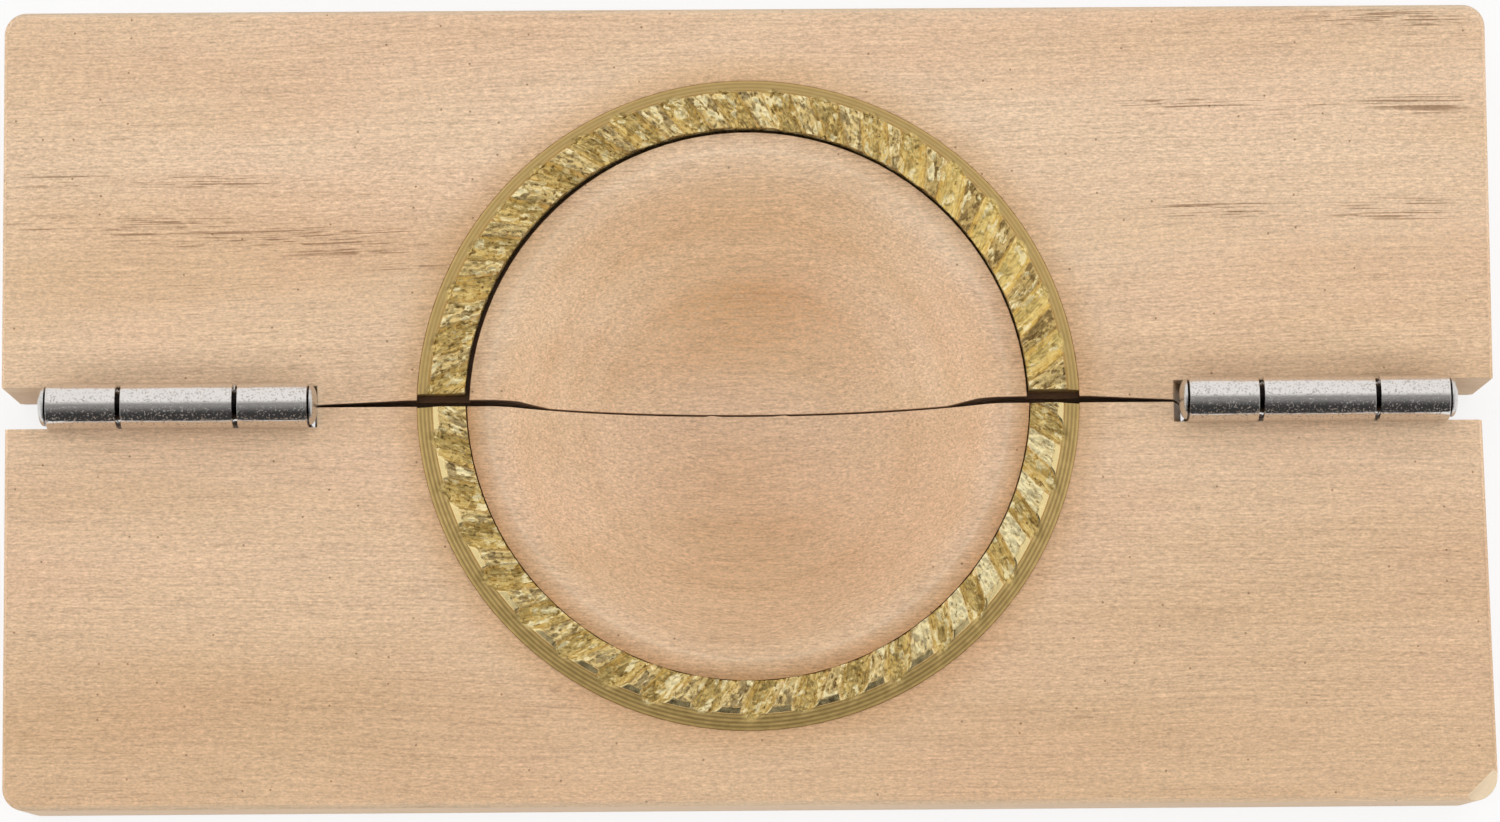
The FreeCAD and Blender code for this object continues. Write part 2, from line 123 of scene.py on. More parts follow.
class RingForm(bpy.types.PropertyGroup):
    """Brass half rings."""
    inner_radius: length("Inner radius", "Inside of the ring", 38.0)
    width: length("Width", "Inside to outside", 6.5)
    crown_width: length("Crown", "Width of the crown with its lip", 4.45)
    front_lip: length("Front lip", "Width of the turned lip of the front half", 0.9)
    rear_lip: length("Rear lip", "Width of the turned lip of the rear half", 0.15)
    lip_drop: length("Lip drop", "Fall of the lip", 0.55)
    step_width: length("Step", "Width of the steep step below the lip", 0.1)
    step_drop: length("Step drop", "Fall of that step", 0.25)
    edge_height: length("Outer edge", "Outer edge above the wood", 0.25)
    groove_count: IntProperty(name="Grooves", description="Grooves in each half ring", default=19, min=1)
    groove_pitch: turn("Groove pitch", "Angle from groove to groove", 9.2)
    groove_start: turn("First groove", "Angle of the rear ring's first groove", 9.7)
    groove_slant: turn("Groove slant", "Slant from the radial direction", 30.0)
    groove_radius: length("Groove radius", "Radius of the round grooves", 1.85)
    groove_depth: length("Groove depth", "Depth below the crown", 1.3)
    mesh_step: length("Mesh step", "Distance between points on the rough casting", 0.16)
    relief: length("Casting relief", "Height of the wrinkles in the casting", 0.42)
    wrinkle_seed: IntProperty(name="Wrinkle seed", description="Picks one set of wrinkles", default=4, min=1)
    bedding: length("Bedding", "How far the ring fills the gap of its seat", 0.08)
    rear_crown: length("Rear crown", "How much wider the crown of the rear half is", 0.55)
    rear_lean: length("Rear lean", "How far the rear half's inside stands to the right", 0.2)
    rear_saw: length("Rear saw cut", "How much shorter the ends of the rear half are", 0.6)
    brass: tint("Brass", "Bare brass", (0.76, 0.53, 0.185))
    # Ridge wear, with a painted highlight at the right of the front half and on glinting facets
    worn_and_lit: tint("Worn brass", "Rubbed ridges", (1.0, 0.86, 0.49))
    # Bright brass of the grooves, partly a painted reflection
    gilt_and_reflection: tint("Bright brass", "Smooth bright grooves", (0.95, 0.71, 0.24))
    # Tarnish, also used as painted shade on dark facets, in cracks and at the groove brinks
    tarnish_and_shade: tint("Tarnish", "Creases and hollows", (0.17, 0.095, 0.025))
    turned: tint("Turned brass", "Dull turned outer bevel", (0.46, 0.315, 0.11))
    # Turned brass of the lip, partly a painted highlight
    lip: tint("Lip", "Smooth turned lip of the crown", (0.98, 0.78, 0.38))


class HingeForm(bpy.types.PropertyGroup):
    """Butt hinges, their pins and their screws."""
    wall: length("Plate", "Thickness of the rolled plate", 1.1)
    swage: length("Swage", "Step from the barrel to the leaf", 0.25)
    middle_knuckle: length("Middle knuckle", "Length of the middle knuckle", 15.0)
    knuckle_gap: length("Knuckle gap", "Gap between knuckles", 0.6)
    leaf_clearance: length("Leaf clearance", "Leaf edge to the other leaf's knuckles", 0.35)
    roll: turn("Roll", "How far the plate is rolled round the pin", 332.0)
    edge_round: length("Edge rounding", "Rounding of the stamped edges", 0.28)
    pin_radius: length("Pin", "Radius of the pin between its heads", 1.9)
    pin_head: length("Pin head", "Thickness of a domed pin head", 0.9)
    shank_radius: length("Screw shank", "Radius of the screw's core", 1.2)
    screw_head_radius: length("Screw head", "Radius of the countersunk head", 2.2)
    screw_head_depth: length("Screw head depth", "Depth of the countersunk head", 1.0)
    screw_point: length("Screw point", "Length of the tapered point", 3.0)
    thread_pitch: length("Thread pitch", "Turn to turn of the screw thread", 1.1)
    thread_height: length("Thread height", "Height of the thread over the core", 0.3)
    recess_depth: length("Recess depth", "Depth of the cross recess", 0.8)
    nickel: tint("Plating", "Satin plating of the leaves", (0.80, 0.76, 0.725))
    steel: tint("Steel", "Pins and screws", (0.72, 0.70, 0.68))
    dirt: tint("Dirt", "Dull spots in the plating", (0.20, 0.18, 0.17))


class StageLooks(bpy.types.PropertyGroup):
    """Floor, lights and camera."""
    key_watts: power("Key", "Power of the soft key light", 2.8)
    fill_watts: power("Fill", "Power of the overhead fill", 3.0)
    side_watts: power("Sides", "Power of each side light", 4.0)
    floor: tint("Floor", "Pale floor", (0.93, 0.93, 0.93))
    room_bright: share("Bright wall", "Light from the wall behind the mold", 0.95)
    room_sides: share("Side walls", "Light from the walls at the left and right", 0.80)
    room_top: share("Ceiling", "Light from straight above", 0.30)
    room_dark: share("Dark room", "Light from the room behind the camera", 0.05)
    lens: FloatProperty(name="Lens", description="Focal length in millimetres", default=126.7)
    camera_place: FloatVectorProperty(name="Camera", description="Camera place", subtype="TRANSLATION",
                                      default=(-0.00559, -0.07991, 0.72624))
    camera_turn: FloatVectorProperty(name="Camera turn", description="Camera rotation", subtype="EULER",
                                     default=[math.radians(a) for a in (6.379, -0.423, -0.432)])


class MoldSettings(bpy.types.PropertyGroup):
    """All settings of the mold."""
    boards: PointerProperty(type=BoardLooks)
    ring: PointerProperty(type=RingForm)
    hinge: PointerProperty(type=HingeForm)
    stage: PointerProperty(type=StageLooks)


# Shader trees

class Tree:
    """Adds nodes to one shader tree. A value is a number, a colour or another node's socket."""

    def __init__(self, nodes_and_links):
        self.tree = nodes_and_links

    def put(self, socket, value):
        """Links a socket, or sets it to a number or colour."""
        if isinstance(value, bpy.types.NodeSocket):
            self.tree.links.new(value, socket)
        else:
            socket.default_value = value

    def add(self, kind, values=(), **settings):
        """A node with its settings and inputs; inputs are (name or number, value) pairs."""
        node = self.tree.nodes.new(kind)
        for key, setting in settings.items():
            setattr(node, key, setting)
        for key, value in values:
            self.put(node.inputs[key], value)
        return node

    def math(self, operation, *values):
        """A number worked out from one to three values."""
        return self.add("ShaderNodeMath", list(enumerate(values)), operation=operation).outputs[0]

    def sum(self, first, *others):
        """Values added up."""
        for other in others:
            first = self.math("ADD", first, other)
        return first

    def times(self, first, *others):
        """Values multiplied."""
        for other in others:
            first = self.math("MULTIPLY", first, other)
        return first

    def apart(self, value, other):
        """How far one number is from another."""
        return self.math("ABSOLUTE", self.math("SUBTRACT", value, other))

    def swing(self, value, reach):
        """Noise from 0 to 1 made into a number that swings about zero, over a reach from end to end."""
        return self.times(self.math("SUBTRACT", value, 0.5), reach)

    def distance(self, x, y):
        """Distance from the origin of a place in a plane."""
        return self.math("SQRT", self.sum(self.times(x, x), self.times(y, y)))

    def vector(self, operation, *values):
        """A vector worked out from one or two vectors."""
        return self.add("ShaderNodeVectorMath", list(enumerate(values)), operation=operation).outputs[0]

    def combine(self, x, y, z):
        """A vector from three numbers."""
        return self.add("ShaderNodeCombineXYZ", list(enumerate((x, y, z)))).outputs[0]

    def even(self, value):
        """A vector, or a grey, with one number three times."""
        return self.combine(value, value, value)

    def separate(self, vector):
        """The three numbers of a vector."""
        return self.add("ShaderNodeSeparateXYZ", [(0, vector)]).outputs

    def mix(self, factor, one, two, blend="MIX"):
        """One colour laid over another."""
        node = self.add("ShaderNodeMix", data_type="RGBA", blend_type=blend)
        for number, value in ((0, factor), (6, one), (7, two)):
            self.put(node.inputs[number], opaque(value))
        return node.outputs[2]

    def fade(self, value, start, end, low=0.0, high=1.0):
        """A soft step from low at the start to high at the end."""
        places = [("Value", value), ("From Min", start), ("From Max", end), ("To Min", low), ("To Max", high)]
        return self.add("ShaderNodeMapRange", places, interpolation_type="SMOOTHSTEP").outputs[0]

    def noise(self, place, scale, detail=2.0, roughness=0.5, distortion=0.0):
        """Noise from 0 to 1; the scale is a vector of spots per millimetre."""
        stretched = self.vector("MULTIPLY", place, scale)
        values = [("Vector", stretched), ("Scale", 1.0), ("Detail", detail), ("Roughness", roughness),
                  ("Distortion", distortion)]
        return self.add("ShaderNodeTexNoise", values).outputs[0]

    def line_noise(self, value, scale, detail=2.0):
        """Noise from 0 to 1 along one number."""
        values = [("W", value), ("Scale", scale), ("Detail", detail)]
        return self.add("ShaderNodeTexNoise", values, noise_dimensions="1D").outputs[0]

    def attribute(self, name, output="Fac"):
        """A value that the mesh carries."""
        return self.add("ShaderNodeAttribute", attribute_name=name).outputs[output]

    def group(self, group, **values):
        """A node group with its inputs; returns its outputs by name."""
        node = self.add("ShaderNodeGroup", node_tree=group)
        for key, value in values.items():
            self.put(node.inputs[key], value)
        return node.outputs


def opaque(value):
    """A three-part colour with full alpha; anything else stays as it is."""
    if isinstance(value, (bpy.types.NodeSocket, float, int)):
        return value
    return (*value, 1.0) if len(value) == 3 else value


def new_group(name, inputs, outputs):
    """An empty shader group; sockets are (name, kind) pairs. Returns its tree, inputs and output node."""
    tree = bpy.data.node_groups.new(name, "ShaderNodeTree")
    for direction, sockets in (("INPUT", inputs), ("OUTPUT", outputs)):
        for label, kind in sockets:
            tree.interface.new_socket(name=label, in_out=direction, socket_type=f"NodeSocket{kind}")
    nodes = Tree(tree)
    return nodes, nodes.add("NodeGroupInput").outputs, nodes.add("NodeGroupOutput").inputs


def new_material(name):
    """A material with a Principled shader.

    Returns it with its tree, its shader and the place on the piece in millimetres.
    """
    material = bpy.data.materials.new(name)
    material.use_nodes = True
    nodes = Tree(material.node_tree)
    shader = material.node_tree.nodes["Principled BSDF"]
    coordinates = nodes.add("ShaderNodeTexCoord").outputs["Object"]
    place = nodes.vector("MULTIPLY", coordinates, (TO_MM, TO_MM, TO_MM))
    return material, nodes, shader, place


def bump(nodes, shader, height, distance, strength=1.0):
    """Relief on a shader, with its full height in millimetres."""
    values = [("Height", height), ("Distance", distance * MM), ("Strength", strength)]
    normal = nodes.add("ShaderNodeBump", values).outputs["Normal"]
    nodes.put(shader.inputs["Normal"], normal)


# Wood

# Lean of the growth layers, and the reach in millimetres over which the grain waves and frays
GROWTH_LEAN = 0.07
GRAIN_WAVE = 5.0
FUZZ = 3.0
GRAIN_VALUES = ("Growth", "Cloud", "Blush", "Fibre", "Flecks", "Pores", "Streaks", "Specks", "Dots")
GRAIN_SLOPE = {"rear": 0.028, "front": -0.006}
GRAIN_SEED = {"rear": 0.37, "front": 1.83}
# Where dark streaks gather on the rear board: x, y, half length and half width in millimetres
REAR_STREAKS = (
    (-94, 31.2, 10, 1.5), (-72, 30.7, 16, 1.3), (-95, 25, 8, 1.5), (-77, 24, 13, 3.6),
    (-60, 22.6, 11, 3.2), (-47, 21.5, 10, 4.6), (86, 52, 16, 1.8), (58, 40.5, 10, 1.1),
    (73, 39.9, 10, 2.0), (91, 40.4, 11, 2.0), (64, 26, 14, 1.5), (88, 25.8, 13, 2.4),
)
# Reach in Y, in millimetres, over which each board grows darker: the rear towards the seam, the front towards its
# front edge
DARKENING_REACH = {"rear": (30.0, -5.0), "front": (-4.0, -52.0)}
# Tints that the wood is multiplied by; RING_SHADE and HINGE_SHADE are painted shade
BLUSH = (1.0, 0.955, 0.965)
DARKENING = (0.93, 0.90, 0.855)
BOWL_WARMTH = (0.96, 0.89, 0.79)
LATE_WOOD = (0.84, 0.70, 0.52)
RING_SHADE = (0.86, 0.74, 0.58)
HINGE_SHADE = (0.62, 0.58, 0.54)
# How strong some of these tints are on each board
BOWL_STRENGTH = {"rear": 0.95, "front": 0.65}
LATE_STRENGTH = {"rear": 0.85, "front": 0.3}
INNER_SHADE_STRENGTH = {"rear": 0.35, "front": 0.85}
# Where the painted light on the faces of the hinge notches starts in X and ends in Y, in millimetres
NOTCH_START = 57.0
NOTCH_END = 2.8


def wood_grain_group():
    """Solid wood with its fibres along X: growth layers, fibres, pores and sanding specks."""
    nodes, inputs, outputs = new_group(
        "Wood grain",
        [("Place", "Vector"), ("Slope", "Float"), ("Seed", "Float")],
        [(key, "Float") for key in GRAIN_VALUES],
    )
    shifted = nodes.vector("ADD", inputs["Place"], nodes.even(nodes.times(inputs["Seed"], 100.0)))
    x, y, z = nodes.separate(shifted)
    drift = nodes.swing(nodes.noise(shifted, (0.009, 0.028, 0.05)), GRAIN_WAVE)
    place_x = nodes.separate(inputs["Place"])[0]
    across = nodes.sum(y, drift, nodes.times(place_x, nodes.times(inputs["Slope"], -1.0)))
    along = nodes.combine(x, across, z)

    flecks = nodes.noise(along, (0.8, 4.0, 4.0), 3.0, 0.65)
    layer = nodes.sum(z, nodes.times(across, GROWTH_LEAN), nodes.times(drift, 0.05),
                      nodes.swing(flecks, FUZZ))
    dash = nodes.noise(along, (0.2, 4.4, 4.4), 1.0)
    patch = nodes.noise(along, (0.02, 0.10, 0.10), 1.0)
    line = nodes.noise(along, (0.06, 4.2, 4.2), 1.0, 0.5)
    broken = nodes.noise(along, (0.24, 1.6, 1.6), 1.0)
    cells = nodes.add("ShaderNodeTexVoronoi", [("Vector", shifted), ("Scale", 0.26)], voronoi_dimensions="2D")
    chosen = nodes.fade(nodes.separate(cells.outputs["Color"])[0], 0.84, 0.86)
    results = {
        "Growth": nodes.line_noise(layer, 0.5),
        "Cloud": nodes.noise(along, (0.012, 0.075, 0.075), 3.0),
        "Blush": nodes.noise(shifted, (0.022, 0.05, 0.05), 3.0, 0.6),
        "Fibre": nodes.noise(along, (0.06, 2.3, 2.3), 4.0, 0.62),
        "Flecks": flecks,
        "Pores": nodes.times(nodes.fade(dash, 0.60, 0.72), nodes.fade(patch, 0.36, 0.62)),
        "Streaks": nodes.times(nodes.fade(line, 0.52, 0.62), nodes.fade(broken, 0.36, 0.54)),
        "Specks": nodes.noise(shifted, (2.2, 4.2, 4.2), 2.0, 0.7),
        "Dots": nodes.times(nodes.fade(cells.outputs["Distance"], 0.05, 0.025), chosen),
    }
    for key, value in results.items():
        nodes.put(outputs[key], value)
    return nodes.tree


def streak_mask(nodes, x, y, streaks):
    """Soft long patches, each (x, y, half length, half width) in millimetres, where dark streaks gather."""
    total = 0.0
    for centre_x, centre_y, half_length, half_width in streaks:
        dx = nodes.math("DIVIDE", nodes.math("SUBTRACT", x, centre_x), half_length)
        dy = nodes.math("DIVIDE", nodes.math("SUBTRACT", y, centre_y), half_width)
        total = nodes.sum(nodes.fade(nodes.distance(dx, dy), 1.0, 0.45), total)
    return nodes.math("MINIMUM", total, 1.0)


class BoardWood:
    """Colour of one board, laid on in layers over one grain. Places are in millimetres."""

    def __init__(self, name, looks, form, nodes, place, grain_group):
        self.name = name
        self.looks = looks
        self.nodes = nodes
        self.place = place
        self.x, self.y, self.z = nodes.separate(place)
        self.grain = nodes.group(grain_group, Place=place, Slope=GRAIN_SLOPE[name], Seed=GRAIN_SEED[name])
        self.top = BOARD_TOP * TO_MM
        self.inner = form.inner_radius * TO_MM
        self.outer = (form.inner_radius + form.width) * TO_MM
        from_ring = nodes.math("SUBTRACT", self.y, ring_centre(name, form).y * TO_MM)
        self.radius = nodes.distance(self.x, from_ring)
        self.upper = nodes.fade(self.z, 2.0, 4.0)
        self.pores = self.open_pores()

    def open_pores(self):
        """Pores, dark dots on the top of the board and, at the rear, gathered streaks."""
        nodes, grain = self.nodes, self.grain
        dots = nodes.times(grain["Dots"], nodes.fade(self.z, self.top - 1.5, self.top - 0.5))
        marks = nodes.sum(nodes.times(grain["Pores"], 0.26), nodes.times(dots, 0.75))
        if self.name == "rear":
            gathered = nodes.times(streak_mask(nodes, self.x, self.y, REAR_STREAKS), grain["Streaks"])
            marks = nodes.sum(nodes.times(gathered, 0.72), marks)
        return nodes.math("MINIMUM", marks, 1.0)

    def grown(self):
        """Growth layers and clouds, with a faint blush and a darker tone towards the seam on the rear board and
        towards the front edge on the front board.
        """
        nodes, grain = self.nodes, self.grain
        pale, deep = (getattr(self.looks, f"{self.name}_{kind}") for kind in ("pale", "deep"))
        layers = nodes.fade(grain["Growth"], 0.30, 0.74)
        clouds = nodes.fade(grain["Cloud"], 0.30, 0.74)
        tone = nodes.sum(nodes.times(clouds, 0.46), nodes.times(layers, 0.26))
        colour = nodes.mix(tone, pale, deep)
        colour = nodes.mix(nodes.fade(grain["Blush"], 0.40, 0.68, 0.0, 0.7), colour, BLUSH, "MULTIPLY")
        return nodes.mix(nodes.fade(self.y, *DARKENING_REACH[self.name]), colour, DARKENING, "MULTIPLY")

    def in_bowl(self, colour):
        """A warmer bowl, with a deep band of late wood where it cuts along the fibres."""
        nodes, grain = self.nodes, self.grain
        bowl = nodes.times(self.upper, nodes.fade(self.radius, self.inner - 3.0, self.inner - 11.0))
        y_square = nodes.times(self.y, self.y)
        spread = nodes.math("DIVIDE", y_square, nodes.sum(nodes.times(self.x, self.x), y_square, 30.0))
        warmth = nodes.times(bowl, spread, BOWL_STRENGTH[self.name])
        colour = nodes.mix(warmth, colour, BOWL_WARMTH, "MULTIPLY")
        layer = nodes.sum(self.z, nodes.times(self.y, 0.061), nodes.swing(grain["Cloud"], 5.0))
        band = nodes.times(nodes.fade(layer, 4.6, 7.6), nodes.fade(layer, 12.0, 8.0))
        shade = nodes.times(band, spread, nodes.fade(grain["Flecks"], 0.36, 0.6, 0.3, 1.0), bowl)
        return nodes.mix(nodes.times(shade, LATE_STRENGTH[self.name]), colour, LATE_WOOD, "MULTIPLY")

    def marked(self, colour):
        """Pores, and the light and dark of fibres, flecks and specks."""
        nodes = self.nodes
        colour = nodes.mix(self.pores, colour, self.looks.pore)
        level = 1.0
        for key, strength in (("Fibre", 0.55), ("Flecks", 0.88), ("Specks", 0.85)):
            level = nodes.sum(nodes.swing(self.grain[key], strength), level)
        return nodes.vector("MULTIPLY", colour, nodes.even(level))

    def by_ring(self, colour):
        """Painted warm shade on both sides of the ring, shadow and light reflected from the brass, and a fine pale
        line inside it.
        """
        nodes, radius, inner, outer = self.nodes, self.radius, self.inner, self.outer
        # Painted shadow and brass-coloured reflected light, outside the ring and on the land inside it
        outside = nodes.times(nodes.fade(radius, outer + 5.0, outer), nodes.fade(radius, inner, inner + 1.0))
        inside = nodes.times(nodes.fade(radius, inner - 3.2, inner),
                             nodes.fade(radius, inner + 2.0, inner + 1.0))
        near = nodes.sum(nodes.times(outside, 0.55), nodes.times(inside, INNER_SHADE_STRENGTH[self.name]))
        on_top = nodes.fade(self.z, self.top - 4.0, self.top - 2.0)
        colour = nodes.mix(nodes.times(near, on_top), colour, RING_SHADE, "MULTIPLY")
        line = nodes.fade(nodes.apart(radius, inner - 2.9), 0.45, 0.1)
        return nodes.mix(nodes.times(line, self.upper, 0.16), colour, self.looks.sanded_and_lit)

    def by_hinges(self, colour):
        """A painted grey shadow behind the hinges, on the rear board alone."""
        if self.name == "front":
            return colour
        nodes = self.nodes
        low, high = (corner.x * TO_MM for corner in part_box("right_hinge_rear_leaf"))
        middle, half = (low + high) / 2, (high - low) / 2
        along = nodes.apart(nodes.math("ABSOLUTE", self.x), middle)
        behind = nodes.times(nodes.fade(self.y, 8.5, 2.8), nodes.fade(along, half + 2.5, half - 3.0))
        return nodes.mix(nodes.times(behind, self.upper, 0.3), colour, HINGE_SHADE, "MULTIPLY")

    def sawn(self, colour):
        """Painted shade on the narrow seam face and in the ring seat, fainter low down."""
        nodes = self.nodes
        high_up = nodes.fade(self.z, self.top - 6.0, self.top - 2.5, 0.2, 1.0)
        return nodes.mix(nodes.times(nodes.attribute("sawn"), high_up), colour, self.looks.gap_shade)

    def sanded(self, colour):
        """Pale outer edges, painted light on the shaded faces of the hinge notches, and the newly sanded corner of
        the front board.
        """
        nodes = self.nodes
        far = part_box(f"{self.name}_board")[0 if self.name == "front" else 1].y * TO_MM
        edge = nodes.fade(nodes.apart(self.y, far), 0.9, 0.2)
        # Painted light on the faces of the hinge notches, which lie in shade
        notch = nodes.fade(nodes.math("ABSOLUTE", self.x), NOTCH_START, NOTCH_START + 1.0, 0.0, 0.4)
        notch = nodes.times(notch, nodes.fade(nodes.math("ABSOLUTE", self.y), NOTCH_END + 0.15, NOTCH_END))
        sanded_and_lit = nodes.math("MAXIMUM", nodes.times(edge, 0.3), notch)
        if self.name == "front":
            sanded_and_lit = nodes.math("MAXIMUM", sanded_and_lit, nodes.times(self.facet(), 0.8))
        return nodes.mix(sanded_and_lit, colour, self.looks.sanded_and_lit)

    def facet(self):
        """Mask of the sanded facet at the front board's corner."""
        nodes = self.nodes
        corner, normal = corner_facet(self.looks)
        values = [(0, self.place), (1, tuple(normal))]
        height = nodes.add("ShaderNodeVectorMath", values, operation="DOT_PRODUCT").outputs["Value"]
        depth = nodes.math("SUBTRACT", corner.dot(normal) * TO_MM, height)
        return nodes.times(nodes.fade(depth, 0.12, 0.04), nodes.fade(self.x, 80.0, 85.0),
                           nodes.fade(self.y, -40.0, -44.0))


def wood_material(name, looks, grain_group, form):
    """Bare sanded wood of one board, with painted shade where it meets the ring, the hinges and the saw cuts, and
    painted light in the hinge notches.
    """
    material, nodes, shader, place = new_material(f"{name}_wood")
    wood = BoardWood(name, looks, form, nodes, place, grain_group)
    colour = wood.grown()
    for layer in (wood.in_bowl, wood.marked, wood.by_ring, wood.by_hinges, wood.sawn, wood.sanded):
        colour = layer(colour)
    nodes.put(shader.inputs["Base Color"], colour)
    fibre, specks = wood.grain["Fibre"], wood.grain["Specks"]
    nodes.put(shader.inputs["Roughness"], nodes.fade(fibre, 0.2, 0.8, 0.62, 0.50))
    shader.inputs["Specular IOR Level"].default_value = 0.35
    relief = nodes.sum(nodes.times(fibre, 0.5), nodes.times(specks, 0.5), nodes.times(wood.pores, -0.8))
    bump(nodes, shader, relief, 0.05, 0.8)
    return material


# Metals

# Painted shadow on a pin's shaft between its heads, where it shows in the knuckle gaps
SHAFT_SHADOW = (0.012, 0.010, 0.009)
# Depth of the dents in the plating, and the pitch of the turned lines on the ring, in millimetres
DENT_DEPTH = 0.03
TURNED_PITCH = 0.55


def pebble_group():
    """Small dents and dull spots of tumbled, plated metal."""
    nodes, inputs, outputs = new_group(
        "Pebbled plating",
        [("Place", "Vector"), ("Spots", "Float")],
        [("Height", "Float"), ("Dull", "Float")],
    )
    grain = nodes.vector("MULTIPLY", inputs["Place"], nodes.even(inputs["Spots"]))
    fine = nodes.noise(grain, (1.0, 1.0, 1.0), 2.0, 0.6)
    coarse = nodes.times(nodes.noise(grain, (0.35, 0.35, 0.35), 1.0), 0.4)
    nodes.put(outputs["Height"], nodes.sum(nodes.fade(fine, 0.70, 0.60), coarse))
    nodes.put(outputs["Dull"], nodes.fade(nodes.sum(fine, coarse), 0.66, 0.92))
    return nodes.tree


def plated_material(name, colour, dirt, pebbles, spots, roughness, shaft_shade=None):
    """Plated metal with fine dents; the spots are dents per millimetre, and the last argument names an attribute
    that lays a painted shadow.
    """
    material, nodes, shader, place = new_material(name)
    surface = nodes.group(pebbles, Place=place, Spots=spots)
    plated = nodes.mix(nodes.times(surface["Dull"], 0.25), colour, dirt)
    if shaft_shade:
        plated = nodes.mix(nodes.attribute(shaft_shade), plated, SHAFT_SHADOW)
    nodes.put(shader.inputs["Base Color"], plated)
    nodes.put(shader.inputs["Roughness"], nodes.sum(nodes.times(surface["Dull"], 0.14), roughness))
    shader.inputs["Metallic"].default_value = 1.0
    bump(nodes, shader, surface["Height"], DENT_DEPTH)
    return material


def brass_material(form):
    """Rough cast brass: dull creases, ridges smoothed by wear, bright grooves and a turned outer bevel, with
    painted shade, highlights and reflections.
    """
    material, nodes, shader, place = new_material("cast_brass")
    worn_and_lit, sunk_and_shaded, gilt_and_reflection, turned, radius, painted_glint = (nodes.attribute(name) for name in CASTING_VALUES)
    slant = nodes.attribute("slant", "Vector")
    blotch = nodes.noise(place, (0.9, 0.9, 0.9), 3.0, 0.6)
    grit = nodes.noise(place, (5.0, 5.0, 5.0), 2.0, 0.6)
    ribs = nodes.noise(slant, (0.35, 4.2, 1.0), 3.0, 0.6)
    crumple = nodes.noise(slant, (1.3, 2.3, 2.0), 3.0, 0.65, 0.6)

    # Tarnished hollows, painted shade on facets turned away, bright grooves with a painted reflection, ridges
    # paled by wear and a painted highlight, then fine cracks tarnished and shaded, and painted highlights on
    # crests
    cast = nodes.math("SUBTRACT", 1.0, turned)
    facet_light = nodes.sum(painted_glint, nodes.swing(crumple, 0.9))
    dull = nodes.times(sunk_and_shaded, nodes.fade(blotch, 0.25, 0.75, 0.5, 1.0))
    dark = nodes.times(cast, nodes.fade(facet_light, 0.46, 0.33, 0.0, 0.75))
    bright = nodes.times(gilt_and_reflection, nodes.fade(ribs, 0.32, 0.62, 0.3, 1.0))
    rubbed_and_lit = nodes.times(worn_and_lit, nodes.fade(blotch, 0.3, 0.6, 0.4, 1.0))
    shaded_cracks = nodes.math("MAXIMUM", nodes.fade(crumple, 0.42, 0.34), nodes.fade(ribs, 0.38, 0.30))
    shaded_cracks = nodes.times(shaded_cracks, cast, nodes.fade(gilt_and_reflection, 0.4, 0.9, 0.85, 0.25))
    # Painted highlights on facets and crests
    painted_glints = nodes.math("MAXIMUM", nodes.fade(facet_light, 0.63, 0.71), nodes.fade(ribs, 0.63, 0.68))
    painted_glints = nodes.times(painted_glints, cast, nodes.fade(sunk_and_shaded, 0.3, 0.6, 0.9, 0.25))

    # The lip is bright and smooth, its colour partly a painted highlight, and the bevel dull with turned lines,
    # stronger in front
    crown = (form.inner_radius + form.crown_width) * TO_MM
    bevel = nodes.times(turned, nodes.fade(radius, crown, crown + 0.1))
    lip = nodes.math("SUBTRACT", turned, bevel)
    lines = nodes.math("SINE", nodes.times(radius, math.tau / TURNED_PITCH))
    uneven = nodes.sum(lines, blotch)
    lined = nodes.times(bevel, nodes.fade(nodes.separate(place)[1], -8.0, 8.0, 0.45, 0.2))
    dark_lines = nodes.times(lined, nodes.fade(uneven, 0.7, 1.4))
    pale_lines = nodes.times(lined, nodes.fade(uneven, 0.0, -0.5))

    colour = form.brass
    for mask, finish in ((dull, form.tarnish_and_shade), (dark, form.tarnish_and_shade), (bright, form.gilt_and_reflection), (rubbed_and_lit, form.worn_and_lit),
                         (shaded_cracks, form.tarnish_and_shade), (painted_glints, form.worn_and_lit), (lip, form.lip), (bevel, form.turned),
                         (dark_lines, form.tarnish_and_shade), (pale_lines, form.brass)):
        colour = nodes.mix(mask, colour, finish)
    nodes.put(shader.inputs["Base Color"], colour)
    metal = nodes.fade(blotch, 0.3, 0.7, 0.42, 0.62)
    metal = nodes.sum(metal, nodes.times(bevel, -0.12), nodes.times(lip, 0.38))
    nodes.put(shader.inputs["Metallic"], metal)
    rough = nodes.sum(nodes.times(grit, 0.12), nodes.times(dull, 0.12), nodes.times(bevel, 0.15), 0.16)
    nodes.put(shader.inputs["Roughness"], rough)
    skin = nodes.times(nodes.sum(crumple, nodes.times(ribs, 0.3)), nodes.fade(turned, 0.0, 1.0, 1.0, 0.05))
    bump(nodes, shader, nodes.sum(skin, nodes.times(lines, bevel, 0.05)), 0.12)
    return material


# Meshes

def add_piece(name, bm, node, material, sharp=35.0):
    """Makes a piece of a finished bmesh: it stands for a node, rides on its body and has its slot."""
    mesh = bpy.data.meshes.new(name)
    bm.to_mesh(mesh)
    bm.free()
    for polygon in mesh.polygons:
        polygon.use_smooth = True
    mesh.set_sharp_from_angle(angle=math.radians(sharp))
    mesh.materials.append(material)
    piece = bpy.data.objects.new(name, mesh)
    bpy.context.scene.collection.objects.link(piece)
    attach(piece, BODY_OF[node])
    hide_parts(node)
    return piece


def tidy(bm):
    """Merges doubled points and turns all faces outwards."""
    bmesh.ops.remove_doubles(bm, verts=bm.verts, dist=WELD)
    bmesh.ops.recalc_face_normals(bm, faces=bm.faces)


def everything(bm):
    """All points, edges and faces."""
    return bm.verts[:] + bm.edges[:] + bm.faces[:]


